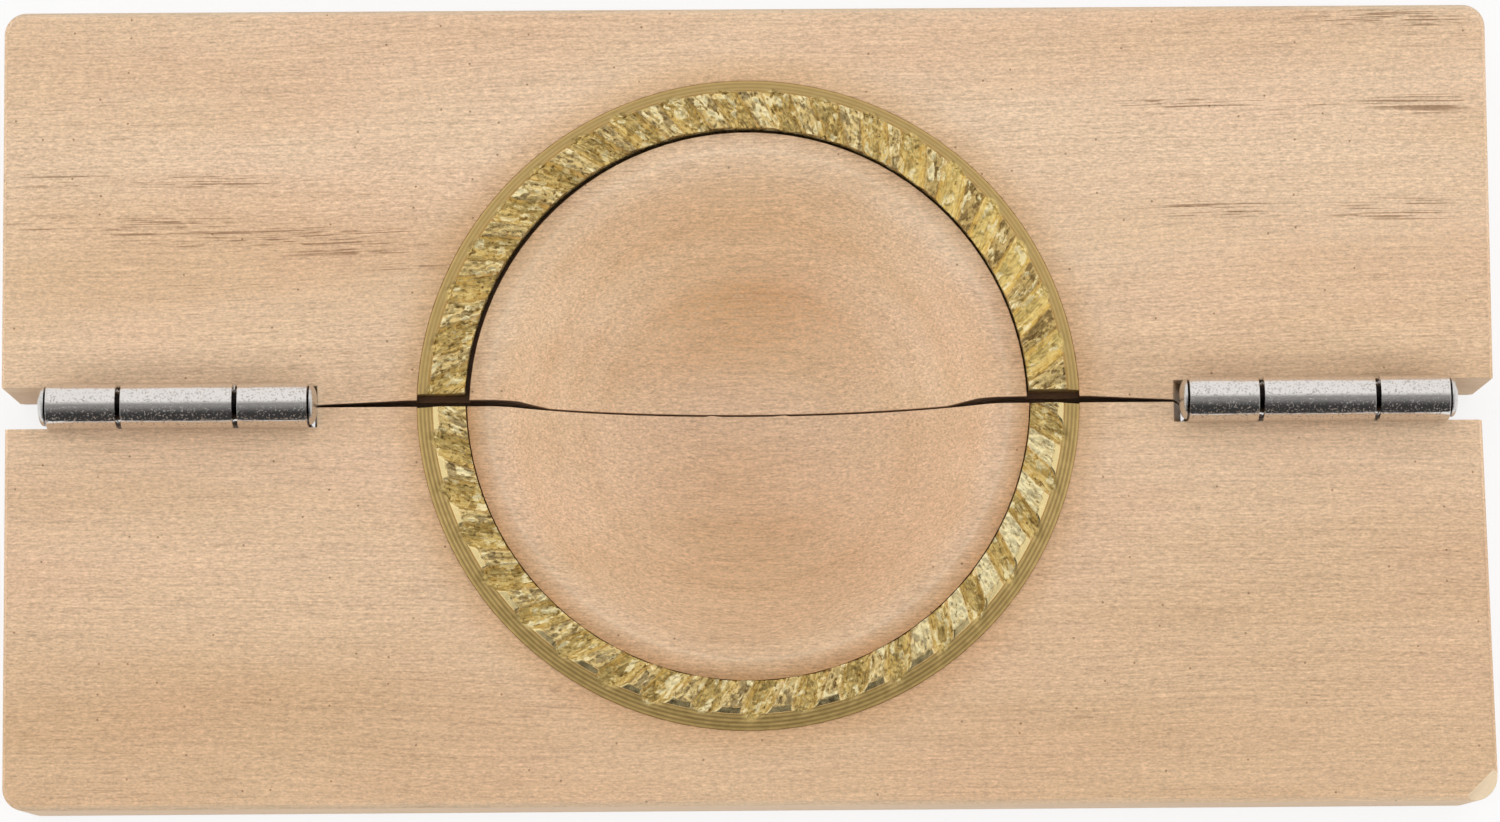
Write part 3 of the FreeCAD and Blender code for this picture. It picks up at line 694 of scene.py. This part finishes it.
def crisp_edges(bm, angle):
    """Edges whose two faces meet at more than an angle in degrees."""
    return [e for e in bm.edges if len(e.link_faces) == 2 and e.calc_face_angle() > math.radians(angle)]


def round_edges(bm, width, angle=60.0):
    """Rounds all crisp edges."""
    bmesh.ops.bevel(bm, geom=crisp_edges(bm, angle), offset=width, affect="EDGES", segments=2, profile=0.5,
                    material=-1, clamp_overlap=True)


def closed_loop(bm, points):
    """A closed loop of points joined by edges."""
    verts = [bm.verts.new(point) for point in points]
    edges = [bm.edges.new(pair) for pair in zip(verts, verts[1:] + verts[:1])]
    return verts, edges


def circle_points(centre, radius, count):
    """Points of a circle in the XY plane."""
    steps = (math.tau * step / count for step in range(count))
    return [centre + Vector((math.cos(a), math.sin(a), 0)) * radius for a in steps]


def only(kind, geometry):
    """The points, the edges or the faces among mixed geometry."""
    return [item for item in geometry if isinstance(item, kind)]


def spun(bm, geometry, axis, angle, steps, centre=(0, 0, 0), rise=(0, 0, 0), full=False):
    """Spins a section round an axis; a full turn is welded, and each step of a helix rises."""
    bmesh.ops.spin(bm, geom=geometry, cent=centre, axis=axis, dvec=rise, angle=angle, steps=steps,
                   use_merge=full, use_normal_flip=False, use_duplicate=False)


# Boards

# Faces of the ring seat lie within a slack of the ring and go down by more than a depth
SEAT_SLACK = 0.6 * MM
SEAT_DEPTH = 0.5 * MM
# Faces of the seam lie within a reach of it
SEAM_REACH = 1.2 * MM
# How dark the painted shade on these faces is
SEAT_SHADE = 0.9
SEAM_SHADE = 0.7
# How far the upper edge of a notch's inner end may lie past the pin's side and past its end
PAST_PIN_SIDE = 0.3 * MM
PAST_PIN_END = 0.4 * MM


def corner_facet(looks):
    """A point and the outward normal of the sanded facet at the front board's right outer corner."""
    low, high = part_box("front_board")
    corner = Vector((high.x - looks.facet_reach, low.y, BOARD_TOP))
    along_edge = Vector((looks.facet_reach, looks.facet_reach, 0))
    down = Vector((looks.facet_reach / 2, -looks.facet_reach / 2, -looks.facet_drop))
    normal = down.cross(along_edge).normalized()
    return corner, normal if normal.z > 0 else -normal


def shade_saw_cuts(bm, name, form):
    """Gives the faces of the seam and of the ring seat a value that lays painted shade on them."""
    layer = bm.faces.layers.float.new("sawn")
    centre = ring_centre(name, form)
    inner = form.inner_radius - SEAT_SLACK
    outer = form.inner_radius + form.width + SEAT_SLACK
    for face in bm.faces:
        radii = [(vert.co.xy - centre.xy).length for vert in face.verts]
        deepest = min(vert.co.z for vert in face.verts)
        if inner < min(radii) and max(radii) < outer and deepest < BOARD_TOP - SEAT_DEPTH:
            face[layer] = SEAT_SHADE
        if abs(face.normal.y) > 0.9 and max(abs(vert.co.y) for vert in face.verts) < SEAM_REACH:
            face[layer] = SEAM_SHADE


def close_notches(bm, looks):
    """Moves the upper edge of each notch's inner end closer to the pin head."""
    for hand, sign in HANDS.items():
        low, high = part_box(f"{hand}_hinge_pin")
        inner = high.x if sign < 0 else low.x
        for vert in bm.verts:
            on_top = abs(vert.co.z - BOARD_TOP) < WELD
            by_pin = abs(vert.co.y) < high.y + PAST_PIN_SIDE
            if on_top and by_pin and 0 < abs(inner) - abs(vert.co.x) < PAST_PIN_END:
                vert.co.x += sign * looks.notch_close


def board_piece(name, looks, form, material):
    """A board's solid with its flats joined, its edges softened and, in front, a sanded corner."""
    node = f"{name}_board"
    bm = bmesh.new()
    bm.from_mesh(frame["nodes"][node].data)
    tidy(bm)
    bmesh.ops.dissolve_limit(bm, angle_limit=math.radians(0.2), verts=bm.verts, edges=bm.edges)
    if name == "front":
        place, normal = corner_facet(looks)
        sawn = bmesh.ops.bisect_plane(bm, geom=everything(bm), dist=WELD, plane_co=place, plane_no=normal,
                                      clear_outer=True)
        bmesh.ops.edgeloop_fill(bm, edges=only(BMEdge, sawn["geom_cut"]))
    close_notches(bm, looks)
    shade_saw_cuts(bm, name, form)
    piece = add_piece(f"{name}_board_wood", bm, node, material, sharp=50.0)
    soft = piece.modifiers.new("Soft edges", "BEVEL")
    soft.width = looks.edge_round
    soft.segments = 2
    soft.limit_method = "ANGLE"
    soft.angle_limit = math.radians(55)
    piece.modifiers.new("Even shading", "WEIGHTED_NORMAL").keep_sharp = True
    return piece


# Brass half rings

def ring_centre(name, form):
    """Centre of a half ring at the height of the board tops."""
    side = SIDES[name]
    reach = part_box(f"{name}_half_ring")[1 if side > 0 else 0].y
    return Vector((0, reach - side * (form.inner_radius + form.width), BOARD_TOP))


def soft_minimum(one, two, width):
    """The lower of two heights, blended over a width."""
    blend = max(0.0, min(1.0, 0.5 + 0.5 * (two - one) / width))
    return two + (one - two) * blend - width * blend * (1 - blend)


def step(value, start, end):
    """A soft step from 0 to 1."""
    t = max(0.0, min(1.0, (value - start) / (end - start)))
    return t * t * (3 - 2 * t)


class Casting:
    """Shape of one half ring, in a frame on the ring's centre with the half turned to +Y."""
    RIDGE_BLEND = 0.35 * MM
    # Shares by which the grooves differ in place, radius and depth
    WANDER, SWELL, UNEVEN = 0.12, 0.15, 0.25
    # How far the wrinkles may rise over the crown
    CEILING = 0.1 * MM
    # How many edges of the section, from its first corner on, are seen and need fine points
    SHOWN_EDGES = 5

    def __init__(self, form, name, proud):
        noise.seed_set(form.wrinkle_seed)
        self.form = form
        self.side = SIDES[name]
        self.proud = proud
        self.start = form.groove_start - (0 if self.side > 0 else form.groove_pitch / 2)
        self.shift = form.rear_crown if self.side > 0 else 0
        self.lean = form.rear_lean if self.side > 0 else 0
        self.inner = form.inner_radius
        self.middle = form.inner_radius + form.crown_width / 2
        self.crown = self.inner + form.crown_width + self.shift
        self.lip = self.crown - (form.rear_lip if self.side > 0 else form.front_lip)

    def section(self, foot):
        """Corners of the ring's section as (radius, height) pairs, down to a foot."""
        form = self.form
        outer = form.inner_radius + form.width + form.bedding
        lip_end = self.proud - form.lip_drop
        return (
            (self.inner, form.edge_height - form.groove_depth),
            (self.inner, self.proud),
            (self.lip, self.proud),
            (self.crown, lip_end),
            (self.crown + form.step_width, lip_end - form.step_drop),
            (outer, form.edge_height),
            (outer, foot),
            (self.inner, foot),
        )

    def chance(self, number, kind):
        """A fixed, random-looking value from -1 to 1 for one groove."""
        return noise.noise(Vector((number * 7.31 + 0.5, self.side * 11.7 + 0.3, kind * 5.9 + 0.7)))

    def rubbed_and_lit(self, angle):
        """How far the casting is smoothed by wear and paled by a painted highlight, from 0 to 1: most at the right
        of each half.
        """
        return step(angle, 0.06, 0.18) * (1 - step(angle, 0.75, 1.2))

    def groove_floor(self, number, x, y, narrow):
        """Height of a groove's floor over the board tops, or None outside the groove."""
        form = self.form
        place = number + self.WANDER * self.chance(number, 0)
        angle = self.start + form.groove_pitch * place + form.groove_slant
        along = Vector((math.cos(angle), math.sin(angle)))
        across = y * along.x - x * along.y + self.middle * math.sin(form.groove_slant)
        radius = form.groove_radius * (1 + self.SWELL * self.chance(number, 1)) * narrow
        depth = form.groove_depth * (1 + self.UNEVEN * self.chance(number, 2))
        if abs(across) >= radius:
            return None
        return self.proud - depth + radius - math.sqrt(radius * radius - across * across)

    def slanted(self, radius, angle):
        """A place on the ring in millimetres, along and across its slanted grooves."""
        around, outwards = angle * self.middle / MM, (radius - self.middle) / MM
        sine, cosine = math.sin(self.form.groove_slant), math.cos(self.form.groove_slant)
        return outwards * cosine + around * sine, around * cosine - outwards * sine

    def wrinkles(self, along, across, height):
        """Height of the cast skin's crumpled facets and ribs, from about -1 to 1, and a facet's painted highlight.
        """
        spot = Vector((along * 0.7, across * 1.35, height + 40 * self.side))
        spot += 0.45 * noise.noise_vector(spot * 0.9)
        centre = noise.voronoi(spot)[1][0]
        facet = (spot - centre).dot(noise.noise_vector(centre * 3.7))
        creases = 1 - 2 * abs(noise.noise(spot * 1.9))
        ribs = noise.noise(Vector((along * 0.4, across * 2.4, 7.3 * self.side)))
        # A random brightness per facet, painted into the colour as a highlight or a shade
        painted_glint = 0.5 + 0.6 * noise.noise(centre * 5.3)
        return 1.5 * facet + 0.4 * creases + 0.45 * ribs, painted_glint

    def shaped(self, point):
        """A point's place on the casting, with the values that its material reads."""
        form = self.form
        x, y, z = point
        radius, angle = math.hypot(x, y), math.atan2(y, x)
        rubbed_and_lit = self.rubbed_and_lit(angle)
        narrow = 1 - 0.22 * rubbed_and_lit if self.side < 0 else 1
        nearest = round((angle - self.start) / form.groove_pitch)
        height = z
        for number in range(max(0, nearest - 1), min(form.groove_count, nearest + 2)):
            floor = self.groove_floor(number, x, y, narrow)
            if floor is not None:
                height = soft_minimum(height, floor, self.RIDGE_BLEND)
        height = min(z, height)
        cut = step(z - height, 0.05 * MM, 0.5 * MM)
        brink = step(z - height, 0, 0.08 * MM) * (1 - step(z - height, 0.12 * MM, 0.4 * MM))
        turned = step(radius, self.lip - 0.05 * MM, self.lip + 0.1 * MM) * (1 - cut)
        exposed = step(z, form.edge_height - 0.5 * MM, form.edge_height + 0.3 * MM)
        rough = exposed * (1 - 0.95 * turned) * (1 - 0.35 * rubbed_and_lit)
        along, across = self.slanted(radius, angle)
        skin, painted_glint = self.wrinkles(along, across, z / MM)
        height = min(height + form.relief * (skin - 0.35) * rough, self.proud + self.CEILING)

        top = step(height, self.proud - 0.45 * MM, self.proud - 0.05 * MM) * (1 - turned)
        creased = (1 - step(skin, -0.7, 0.2)) * rough
        # Front half: ridge tops pale with wear, and with a painted highlight at its right
        if self.side < 0:
            worn_and_lit = top * (0.2 + 0.8 * rubbed_and_lit)
            gilt_and_reflection = 0.5 * cut
            olive = 0.25 * cut
        else:
            worn_and_lit = top * 0.2 * (1 - rubbed_and_lit)
            # Rear half: bright grooves, stronger at its right, a painted reflection
            gilt_and_reflection = cut * (0.45 + 0.55 * rubbed_and_lit)
            olive = (1 - cut) * (1 - turned) * 0.32 * rubbed_and_lit
        # Hollow marks: tarnished creases with painted shade, olive lands, and a painted shadow along the groove
        # brinks
        values = {
            "worn_and_lit": worn_and_lit,
            "sunk_and_shaded": max(creased, olive, 0.7 * brink),
            "gilt_and_reflection": gilt_and_reflection,
            "turned": turned * exposed,
            "radius": (radius - self.shift) / MM,
            "painted_glint": painted_glint,
        }
        spread = 1 - self.lean * math.cos(angle) * (1 - step(radius, self.inner, self.middle)) / radius
        return Vector((x * spread, y * spread, height)), values, Vector((along, across, z / MM))


COARSE_STEPS = 36
CASTING_VALUES = ("worn_and_lit", "sunk_and_shaded", "gilt_and_reflection", "turned", "radius", "painted_glint")


def round_ring(bm, radius_layer, cuts):
    """Divides the edges that run round a spun ring, and pushes their points out to a true circle."""
    def runs_round(edge):
        first, second = edge.verts
        return (abs(first.co.z - second.co.z) < WELD
                and abs(first[radius_layer] - second[radius_layer]) < WELD)
    bmesh.ops.subdivide_edges(bm, edges=[edge for edge in bm.edges if runs_round(edge)], cuts=cuts,
                              use_grid_fill=True)
    for vert in bm.verts:
        vert.co.xy = vert.co.xy.normalized() * vert[radius_layer]


def half_ring_piece(name, form, material):
    """A half ring: its section spun round, sawn along the seam and roughened as a casting."""
    node = f"{name}_half_ring"
    low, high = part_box(node)
    centre = ring_centre(name, form)
    casting = Casting(form, name, high.z - BOARD_TOP)
    bm = bmesh.new()
    layers = {key: bm.verts.layers.float.new(key) for key in CASTING_VALUES}
    slant_layer = bm.verts.layers.float_vector.new("slant")
    corners = [Vector((radius, 0, height)) for radius, height in casting.section(low.z - BOARD_TOP)]
    for number, edge in enumerate(closed_loop(bm, corners)[1]):
        cuts = int(edge.calc_length() / form.mesh_step) if number < casting.SHOWN_EDGES else 1
        bmesh.ops.subdivide_edges(bm, edges=[edge], cuts=max(1, cuts))
    for vert in bm.verts:
        vert[layers["radius"]] = vert.co.x
    spun(bm, bm.verts[:] + bm.edges[:], (0, 0, 1), math.pi, COARSE_STEPS)
    round_ring(bm, layers["radius"], int(math.pi * casting.crown / form.mesh_step / COARSE_STEPS))
    saw_cut = low.y + form.rear_saw - centre.y if name == "rear" else centre.y - high.y
    bmesh.ops.bisect_plane(bm, geom=everything(bm), dist=WELD, plane_co=(0, saw_cut, 0), plane_no=(0, 1, 0),
                           clear_inner=True)
    bmesh.ops.holes_fill(bm, edges=[edge for edge in bm.edges if edge.is_boundary], sides=0)

    for vert in bm.verts:
        vert.co, values, vert[slant_layer] = casting.shaped(vert.co)
        for key, value in values.items():
            vert[layers[key]] = value
    if name == "front":
        bmesh.ops.scale(bm, vec=(1, -1, 1), verts=bm.verts)
    bmesh.ops.translate(bm, vec=centre, verts=bm.verts)
    tidy(bm)
    return add_piece(f"{name}_ring_casting", bm, node, material, sharp=75.0)


# Hinges

KNUCKLE_STEPS = 60
HOLE_POINTS = 32
THREAD_STEPS = 20
# Play of a screw in its hole
SCREW_PLAY = 0.05 * MM
# Cross recess: its arms as a share of the head, their width as a share of the arms, and its taper
RECESS_ARM = 0.62
RECESS_WIDTH = 0.24
RECESS_TAPER = 0.6
# Flat middle of a pin head as a share of its radius, and the points over its dome
PIN_FLAT = 0.35
DOME_STEPS = 7


def knuckle(bm, start, end, side, outer, form):
    """A barrel rolled from the leaf's plate round the pin, open by a slit under the pin."""
    inner = outer - form.wall
    corners = [(start, inner), (end, inner), (end, outer), (start, outer)]
    verts = closed_loop(bm, [Vector((x, AXIS.y + side * r, AXIS.z)) for x, r in corners])[0]
    face = bm.faces.new(verts)
    spun(bm, [face, *face.edges, *face.verts], (1, 0, 0), side * form.roll, KNUCKLE_STEPS, centre=AXIS)


def leaf_piece(hand, name, form, material):
    """A hinge leaf: a plate with two countersunk holes, and its rolled knuckles."""
    node = f"{hand}_hinge_{name}_leaf"
    side = SIDES[name]
    low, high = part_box(node)
    screws_low, screws_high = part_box(f"{hand}_hinge_{name}_screws")
    middle, half = (low.x + high.x) / 2, (high.x - low.x) / 2
    barrel = high.z - AXIS.z
    plate_face = screws_low.y if side > 0 else screws_high.y
    shoulder = AXIS.z - barrel - form.leaf_clearance
    inner_end = form.middle_knuckle / 2
    outer_start = inner_end + form.knuckle_gap
    if side > 0:
        top = [(half, shoulder), (inner_end, shoulder), (inner_end, AXIS.z)]
        knuckles = [(-inner_end, inner_end)]
    else:
        top = [(half, AXIS.z), (outer_start, AXIS.z), (outer_start, shoulder)]
        knuckles = [(-half, -outer_start), (outer_start, half)]
    outline = [(-half, low.z), (half, low.z)] + top + [(-x, z) for x, z in reversed(top)]

    # The plate is drawn flat, its height along Y, and then stood up
    bm = bmesh.new()
    edges = closed_loop(bm, [Vector((middle + x, z, 0)) for x, z in outline])[1]
    head = form.screw_head_radius + SCREW_PLAY
    hole = form.shank_radius + SCREW_PLAY
    places = [screws_low.x + form.screw_head_radius, screws_high.x - form.screw_head_radius]
    centres = [Vector((x, (screws_low.z + screws_high.z) / 2, 0)) for x in places]
    for centre in centres:
        edges += closed_loop(bm, circle_points(centre, head, HOLE_POINTS))[1]
    faces = only(BMFace, bmesh.ops.triangle_fill(bm, use_beauty=True, edges=edges)["geom"])
    wall = bmesh.ops.extrude_face_region(bm, geom=faces, use_keep_orig=True)["geom"]
    back = only(BMVert, wall)
    bmesh.ops.translate(bm, vec=(0, 0, form.wall), verts=back)
    for centre in centres:
        rim = [v for v in back if (v.co.xy - centre.xy).length < head * 1.01]
        for vert in rim:
            vert.co.xy = centre.xy + (vert.co.xy - centre.xy) * hole / head
    for vert in bm.verts:
        lean = form.swage if vert.co.y > AXIS.z - WELD else 0
        vert.co = Vector((vert.co.x, plate_face + side * (vert.co.z + lean), vert.co.y))
    for start, end in knuckles:
        knuckle(bm, middle + start, middle + end, side, barrel, form)
    tidy(bm)
    round_edges(bm, form.edge_round)
    return add_piece(f"{hand}_{name}_leaf_plate", bm, node, material)


def revolved(bm, profile, steps):
    """A surface turned about Z from a profile of (radius, height) pairs."""
    verts = [bm.verts.new((radius, 0, height)) for radius, height in profile]
    edges = [bm.edges.new(pair) for pair in zip(verts, verts[1:])]
    spun(bm, verts + edges, (0, 0, 1), math.tau, steps, full=True)


def pin_piece(hand, form, material):
    """A hinge pin with a low domed head at each end."""
    node = f"{hand}_hinge_pin"
    low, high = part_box(node)
    middle, half = (low.x + high.x) / 2, (high.x - low.x) / 2
    head = (high.z - low.z) / 2
    seat = half - form.pin_head
    dome = []
    for number in range(DOME_STEPS + 1):
        angle = math.pi / 2 * number / DOME_STEPS
        radius = head * (PIN_FLAT + (1 - PIN_FLAT) * math.sin(angle))
        dome.append((radius, seat + form.pin_head * math.cos(angle)))
    side = [(0, half)] + dome + [(form.pin_radius, seat)]
    bm = bmesh.new()
    revolved(bm, side + [(radius, -height) for radius, height in reversed(side)], KNUCKLE_STEPS)
    bmesh.ops.rotate(bm, cent=(0, 0, 0), matrix=Matrix.Rotation(math.pi / 2, 3, "Y"), verts=bm.verts)
    bmesh.ops.translate(bm, vec=(middle, AXIS.y, AXIS.z), verts=bm.verts)
    tidy(bm)
    # The shaft between the heads takes a painted shadow
    layer = bm.verts.layers.float.new("shaft_shade")
    for vert in bm.verts:
        between_heads = abs(vert.co.x - middle) < seat + WELD
        on_shaft = (vert.co.yz - AXIS.yz).length < form.pin_radius + WELD
        vert[layer] = 1.0 if between_heads and on_shaft else 0.0
    return add_piece(f"{hand}_pin_turned", bm, node, material)


def cross_points(arm, width):
    """Outline of a cross recess about the origin."""
    quarter = [Vector((width, width, 0)), Vector((width, arm, 0)), Vector((-width, arm, 0))]
    points = []
    for number in range(4):
        points += [Matrix.Rotation(number * math.pi / 2, 3, "Z") @ point for point in quarter]
    return points


def screw(bm, form, length_):
    """A countersunk cross-head screw pointing down from the origin, with its thread."""
    neck = form.shank_radius
    tip = length_ - form.screw_point
    profile = [(form.screw_head_radius, 0), (neck, -form.screw_head_depth), (neck, -tip), (0, -length_)]
    revolved(bm, profile, HOLE_POINTS)
    rim = closed_loop(bm, circle_points(Vector(), form.screw_head_radius, HOLE_POINTS))[1]
    arm = form.screw_head_radius * RECESS_ARM
    recess = closed_loop(bm, cross_points(arm, arm * RECESS_WIDTH))[1]
    bmesh.ops.triangle_fill(bm, use_beauty=True, edges=rim + recess)
    walls = bmesh.ops.extrude_edge_only(bm, edges=recess)["geom"]
    floor = only(BMVert, walls)
    for vert in floor:
        vert.co = Vector((vert.co.x * RECESS_TAPER, vert.co.y * RECESS_TAPER, -form.recess_depth))
    floor_edges = [edge for edge in only(BMEdge, walls) if all(vert in floor for vert in edge.verts)]
    bmesh.ops.edgeloop_fill(bm, edges=floor_edges)
    bmesh.ops.remove_doubles(bm, verts=bm.verts, dist=WELD)
    thread(bm, form, form.screw_head_depth + form.thread_pitch, tip)


def thread(bm, form, start, end):
    """A helical ridge round the shank, its foot a little way inside it."""
    turns = (end - start) / form.thread_pitch
    foot = form.shank_radius * 0.96
    crest = form.shank_radius + form.thread_height
    half = form.thread_pitch * 0.28
    ridge = [(foot, half), (crest, 0), (foot, -half)]
    face = bm.faces.new([bm.verts.new((radius, 0, height - start)) for radius, height in ridge])
    spun(bm, [face, *face.edges, *face.verts], (0, 0, 1), math.tau * turns, int(THREAD_STEPS * turns),
         rise=(0, 0, -form.thread_pitch / THREAD_STEPS))


def screws_piece(hand, name, form, material):
    """The two screws of a leaf, their heads flush with its face."""
    node = f"{hand}_hinge_{name}_screws"
    side = SIDES[name]
    low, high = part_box(node)
    face = low.y if side > 0 else high.y
    height = (low.z + high.z) / 2
    bm = bmesh.new()
    for x, twist in ((low.x + form.screw_head_radius, 0.4), (high.x - form.screw_head_radius, 1.1)):
        one = bmesh.new()
        screw(one, form, high.y - low.y)
        pose = (Matrix.Translation((x, face, height)) @ Matrix.Rotation(side * math.pi / 2, 4, "X")
                @ Matrix.Rotation(twist, 4, "Z"))
        bmesh.ops.transform(one, matrix=pose, verts=one.verts)
        bmesh.ops.recalc_face_normals(one, faces=one.faces)
        spare = bpy.data.meshes.new("screw")
        one.to_mesh(spare)
        one.free()
        bm.from_mesh(spare)
        bpy.data.meshes.remove(spare)
    return add_piece(f"{hand}_{name}_screw_pair", bm, node, material)


# Stage

def soft_light(name, place, target, size, watts):
    """A large soft lamp aimed at a point, left out of reflections."""
    data = bpy.data.lights.new(name, "AREA")
    data.shape = "RECTANGLE"
    data.size, data.size_y = size
    data.energy = watts
    lamp = bpy.data.objects.new(name, data)
    lamp.location = place
    lamp.rotation_euler = (Vector(target) - Vector(place)).to_track_quat("-Z", "Y").to_euler()
    lamp.visible_glossy = False
    bpy.context.scene.collection.objects.link(lamp)


def room(looks):
    """A white background for the camera, and for light a room with a bright wall behind the mold."""
    world = bpy.data.worlds.new("Studio")
    bpy.context.scene.world = world
    world.use_nodes = True
    nodes = Tree(world.node_tree)
    background = world.node_tree.nodes["Background"]
    way = nodes.add("ShaderNodeTexCoord").outputs["Generated"]
    sideways, back, _ = nodes.separate(way)
    ceiling = nodes.fade(back, -0.75, -0.05, looks.room_dark, looks.room_top)
    rear_wall = nodes.fade(back, -0.02, 0.36, 0.0, looks.room_bright - looks.room_top)
    side_walls = nodes.fade(nodes.math("ABSOLUTE", sideways), 0.5, 0.85, 0.0, looks.room_sides)
    light = nodes.math("MAXIMUM", nodes.math("ADD", ceiling, rear_wall), side_walls)
    seen = nodes.add("ShaderNodeLightPath").outputs["Is Camera Ray"]
    level = nodes.math("MAXIMUM", light, seen)
    nodes.put(background.inputs["Color"], nodes.even(level))
    background.inputs["Strength"].default_value = 1.0


def floor_piece(looks):
    """A pale floor that stays white to the camera and keeps the mold's shadow."""
    bm = bmesh.new()
    bmesh.ops.create_grid(bm, x_segments=8, y_segments=8, size=2.0)
    bmesh.ops.translate(bm, vec=(0, 0, -0.05 * MM), verts=bm.verts)
    mesh = bpy.data.meshes.new("floor")
    bm.to_mesh(mesh)
    bm.free()
    floor = bpy.data.objects.new("floor", mesh)
    bpy.context.scene.collection.objects.link(floor)
    material, nodes, shader, place = new_material("floor_paper")
    tone = nodes.fade(nodes.noise(place, (0.004, 0.004, 0.004)), 0.3, 0.7, 0.98, 1.0)
    colour = nodes.vector("MULTIPLY", tuple(looks.floor), nodes.even(tone))
    nodes.put(shader.inputs["Base Color"], colour)
    shader.inputs["Roughness"].default_value = 0.9
    path = nodes.add("ShaderNodeLightPath").outputs
    seen = nodes.math("MAXIMUM", path["Is Camera Ray"], path["Is Glossy Ray"])
    glow = nodes.add("ShaderNodeEmission", [("Strength", 1.0)])
    parts = [(0, nodes.times(seen, 0.8)), (1, shader.outputs[0]), (2, glow.outputs[0])]
    blend = nodes.add("ShaderNodeMixShader", parts)
    nodes.put(material.node_tree.nodes["Material Output"].inputs["Surface"], blend.outputs[0])
    mesh.materials.append(material)


def overhead_camera(looks):
    """A camera almost straight above the mold."""
    data = bpy.data.cameras.new("camera")
    data.lens = looks.lens
    camera = bpy.data.objects.new("camera", data)
    camera.location = looks.camera_place
    camera.rotation_euler = looks.camera_turn
    bpy.context.scene.collection.objects.link(camera)
    bpy.context.scene.camera = camera


# Operators

class MoldOperator:
    """What all operators of the mold share."""
    bl_options = {"REGISTER", "UNDO"}

    def execute(self, context):
        self.make(context.scene.dumpling_mold)
        return {"FINISHED"}


class MOLD_OT_boards(MoldOperator, bpy.types.Operator):
    """Makes the two wooden boards"""
    bl_idname = "mold.boards"
    bl_label = "Boards"

    def make(self, settings):
        grain = wood_grain_group()
        for name in SIDES:
            material = wood_material(name, settings.boards, grain, settings.ring)
            board_piece(name, settings.boards, settings.ring, material)


class MOLD_OT_rings(MoldOperator, bpy.types.Operator):
    """Makes the two brass half rings"""
    bl_idname = "mold.rings"
    bl_label = "Half rings"

    def make(self, settings):
        material = brass_material(settings.ring)
        for name in SIDES:
            half_ring_piece(name, settings.ring, material)


class MOLD_OT_hinges(MoldOperator, bpy.types.Operator):
    """Makes the leaves, pins and screws of both hinges"""
    bl_idname = "mold.hinges"
    bl_label = "Hinges"

    def make(self, settings):
        form = settings.hinge
        plating = {"dirt": form.dirt, "pebbles": pebble_group()}
        leaf = plated_material("satin_nickel", form.nickel, spots=3.6, roughness=0.12, **plating)
        # The pin's shaft takes a painted shadow where it shows between the knuckles
        pin = plated_material("pin_steel", form.steel, spots=6.0, roughness=0.24, shaft_shade="shaft_shade", **plating)
        wood_screw = plated_material("screw_steel", form.steel, spots=5.0, roughness=0.30, **plating)
        for hand in HANDS:
            pin_piece(hand, form, pin)
            for name in SIDES:
                leaf_piece(hand, name, form, leaf)
                screws_piece(hand, name, form, wood_screw)


class MOLD_OT_stage(MoldOperator, bpy.types.Operator):
    """Makes the floor, the lights and the camera"""
    bl_idname = "mold.stage"
    bl_label = "Stage"

    def make(self, settings):
        looks = settings.stage
        bpy.context.scene.view_settings.view_transform = "Standard"
        floor_piece(looks)
        room(looks)
        soft_light("key_softbox", (0.0, -0.9, 0.85), (0, 0, 0), (0.9, 0.5), looks.key_watts)
        soft_light("overhead_fill", (0.0, 0.1, 1.3), (0, 0, 0), (1.2, 0.9), looks.fill_watts)
        for hand, sign in HANDS.items():
            soft_light(f"{hand}_softbox", (sign * 1.0, -0.3, 0.34), (0, 0, 0), (0.6, 0.5), looks.side_watts)
        overhead_camera(looks)


OPERATORS = (MOLD_OT_boards, MOLD_OT_rings, MOLD_OT_hinges, MOLD_OT_stage)


class VIEW3D_PT_mold(bpy.types.Panel):
    """Lists the pieces of the mold"""
    bl_label = "Dumpling mold"
    bl_space_type = "VIEW_3D"
    bl_region_type = "UI"
    bl_category = "Mold"

    def draw(self, context):
        for operator in OPERATORS:
            self.layout.operator(operator.bl_idname)


CLASSES = (BoardLooks, RingForm, HingeForm, StageLooks, MoldSettings, *OPERATORS, VIEW3D_PT_mold)


def register():
    for item in CLASSES:
        bpy.utils.register_class(item)
    bpy.types.Scene.dumpling_mold = PointerProperty(type=MoldSettings)


def unregister():
    del bpy.types.Scene.dumpling_mold
    for item in reversed(CLASSES):
        bpy.utils.unregister_class(item)


def main():
    """Dresses the mold."""
    register()
    bpy.ops.mold.boards()
    bpy.ops.mold.rings()
    bpy.ops.mold.hinges()
    bpy.ops.mold.stage()


if __name__ == "__main__":
    main()
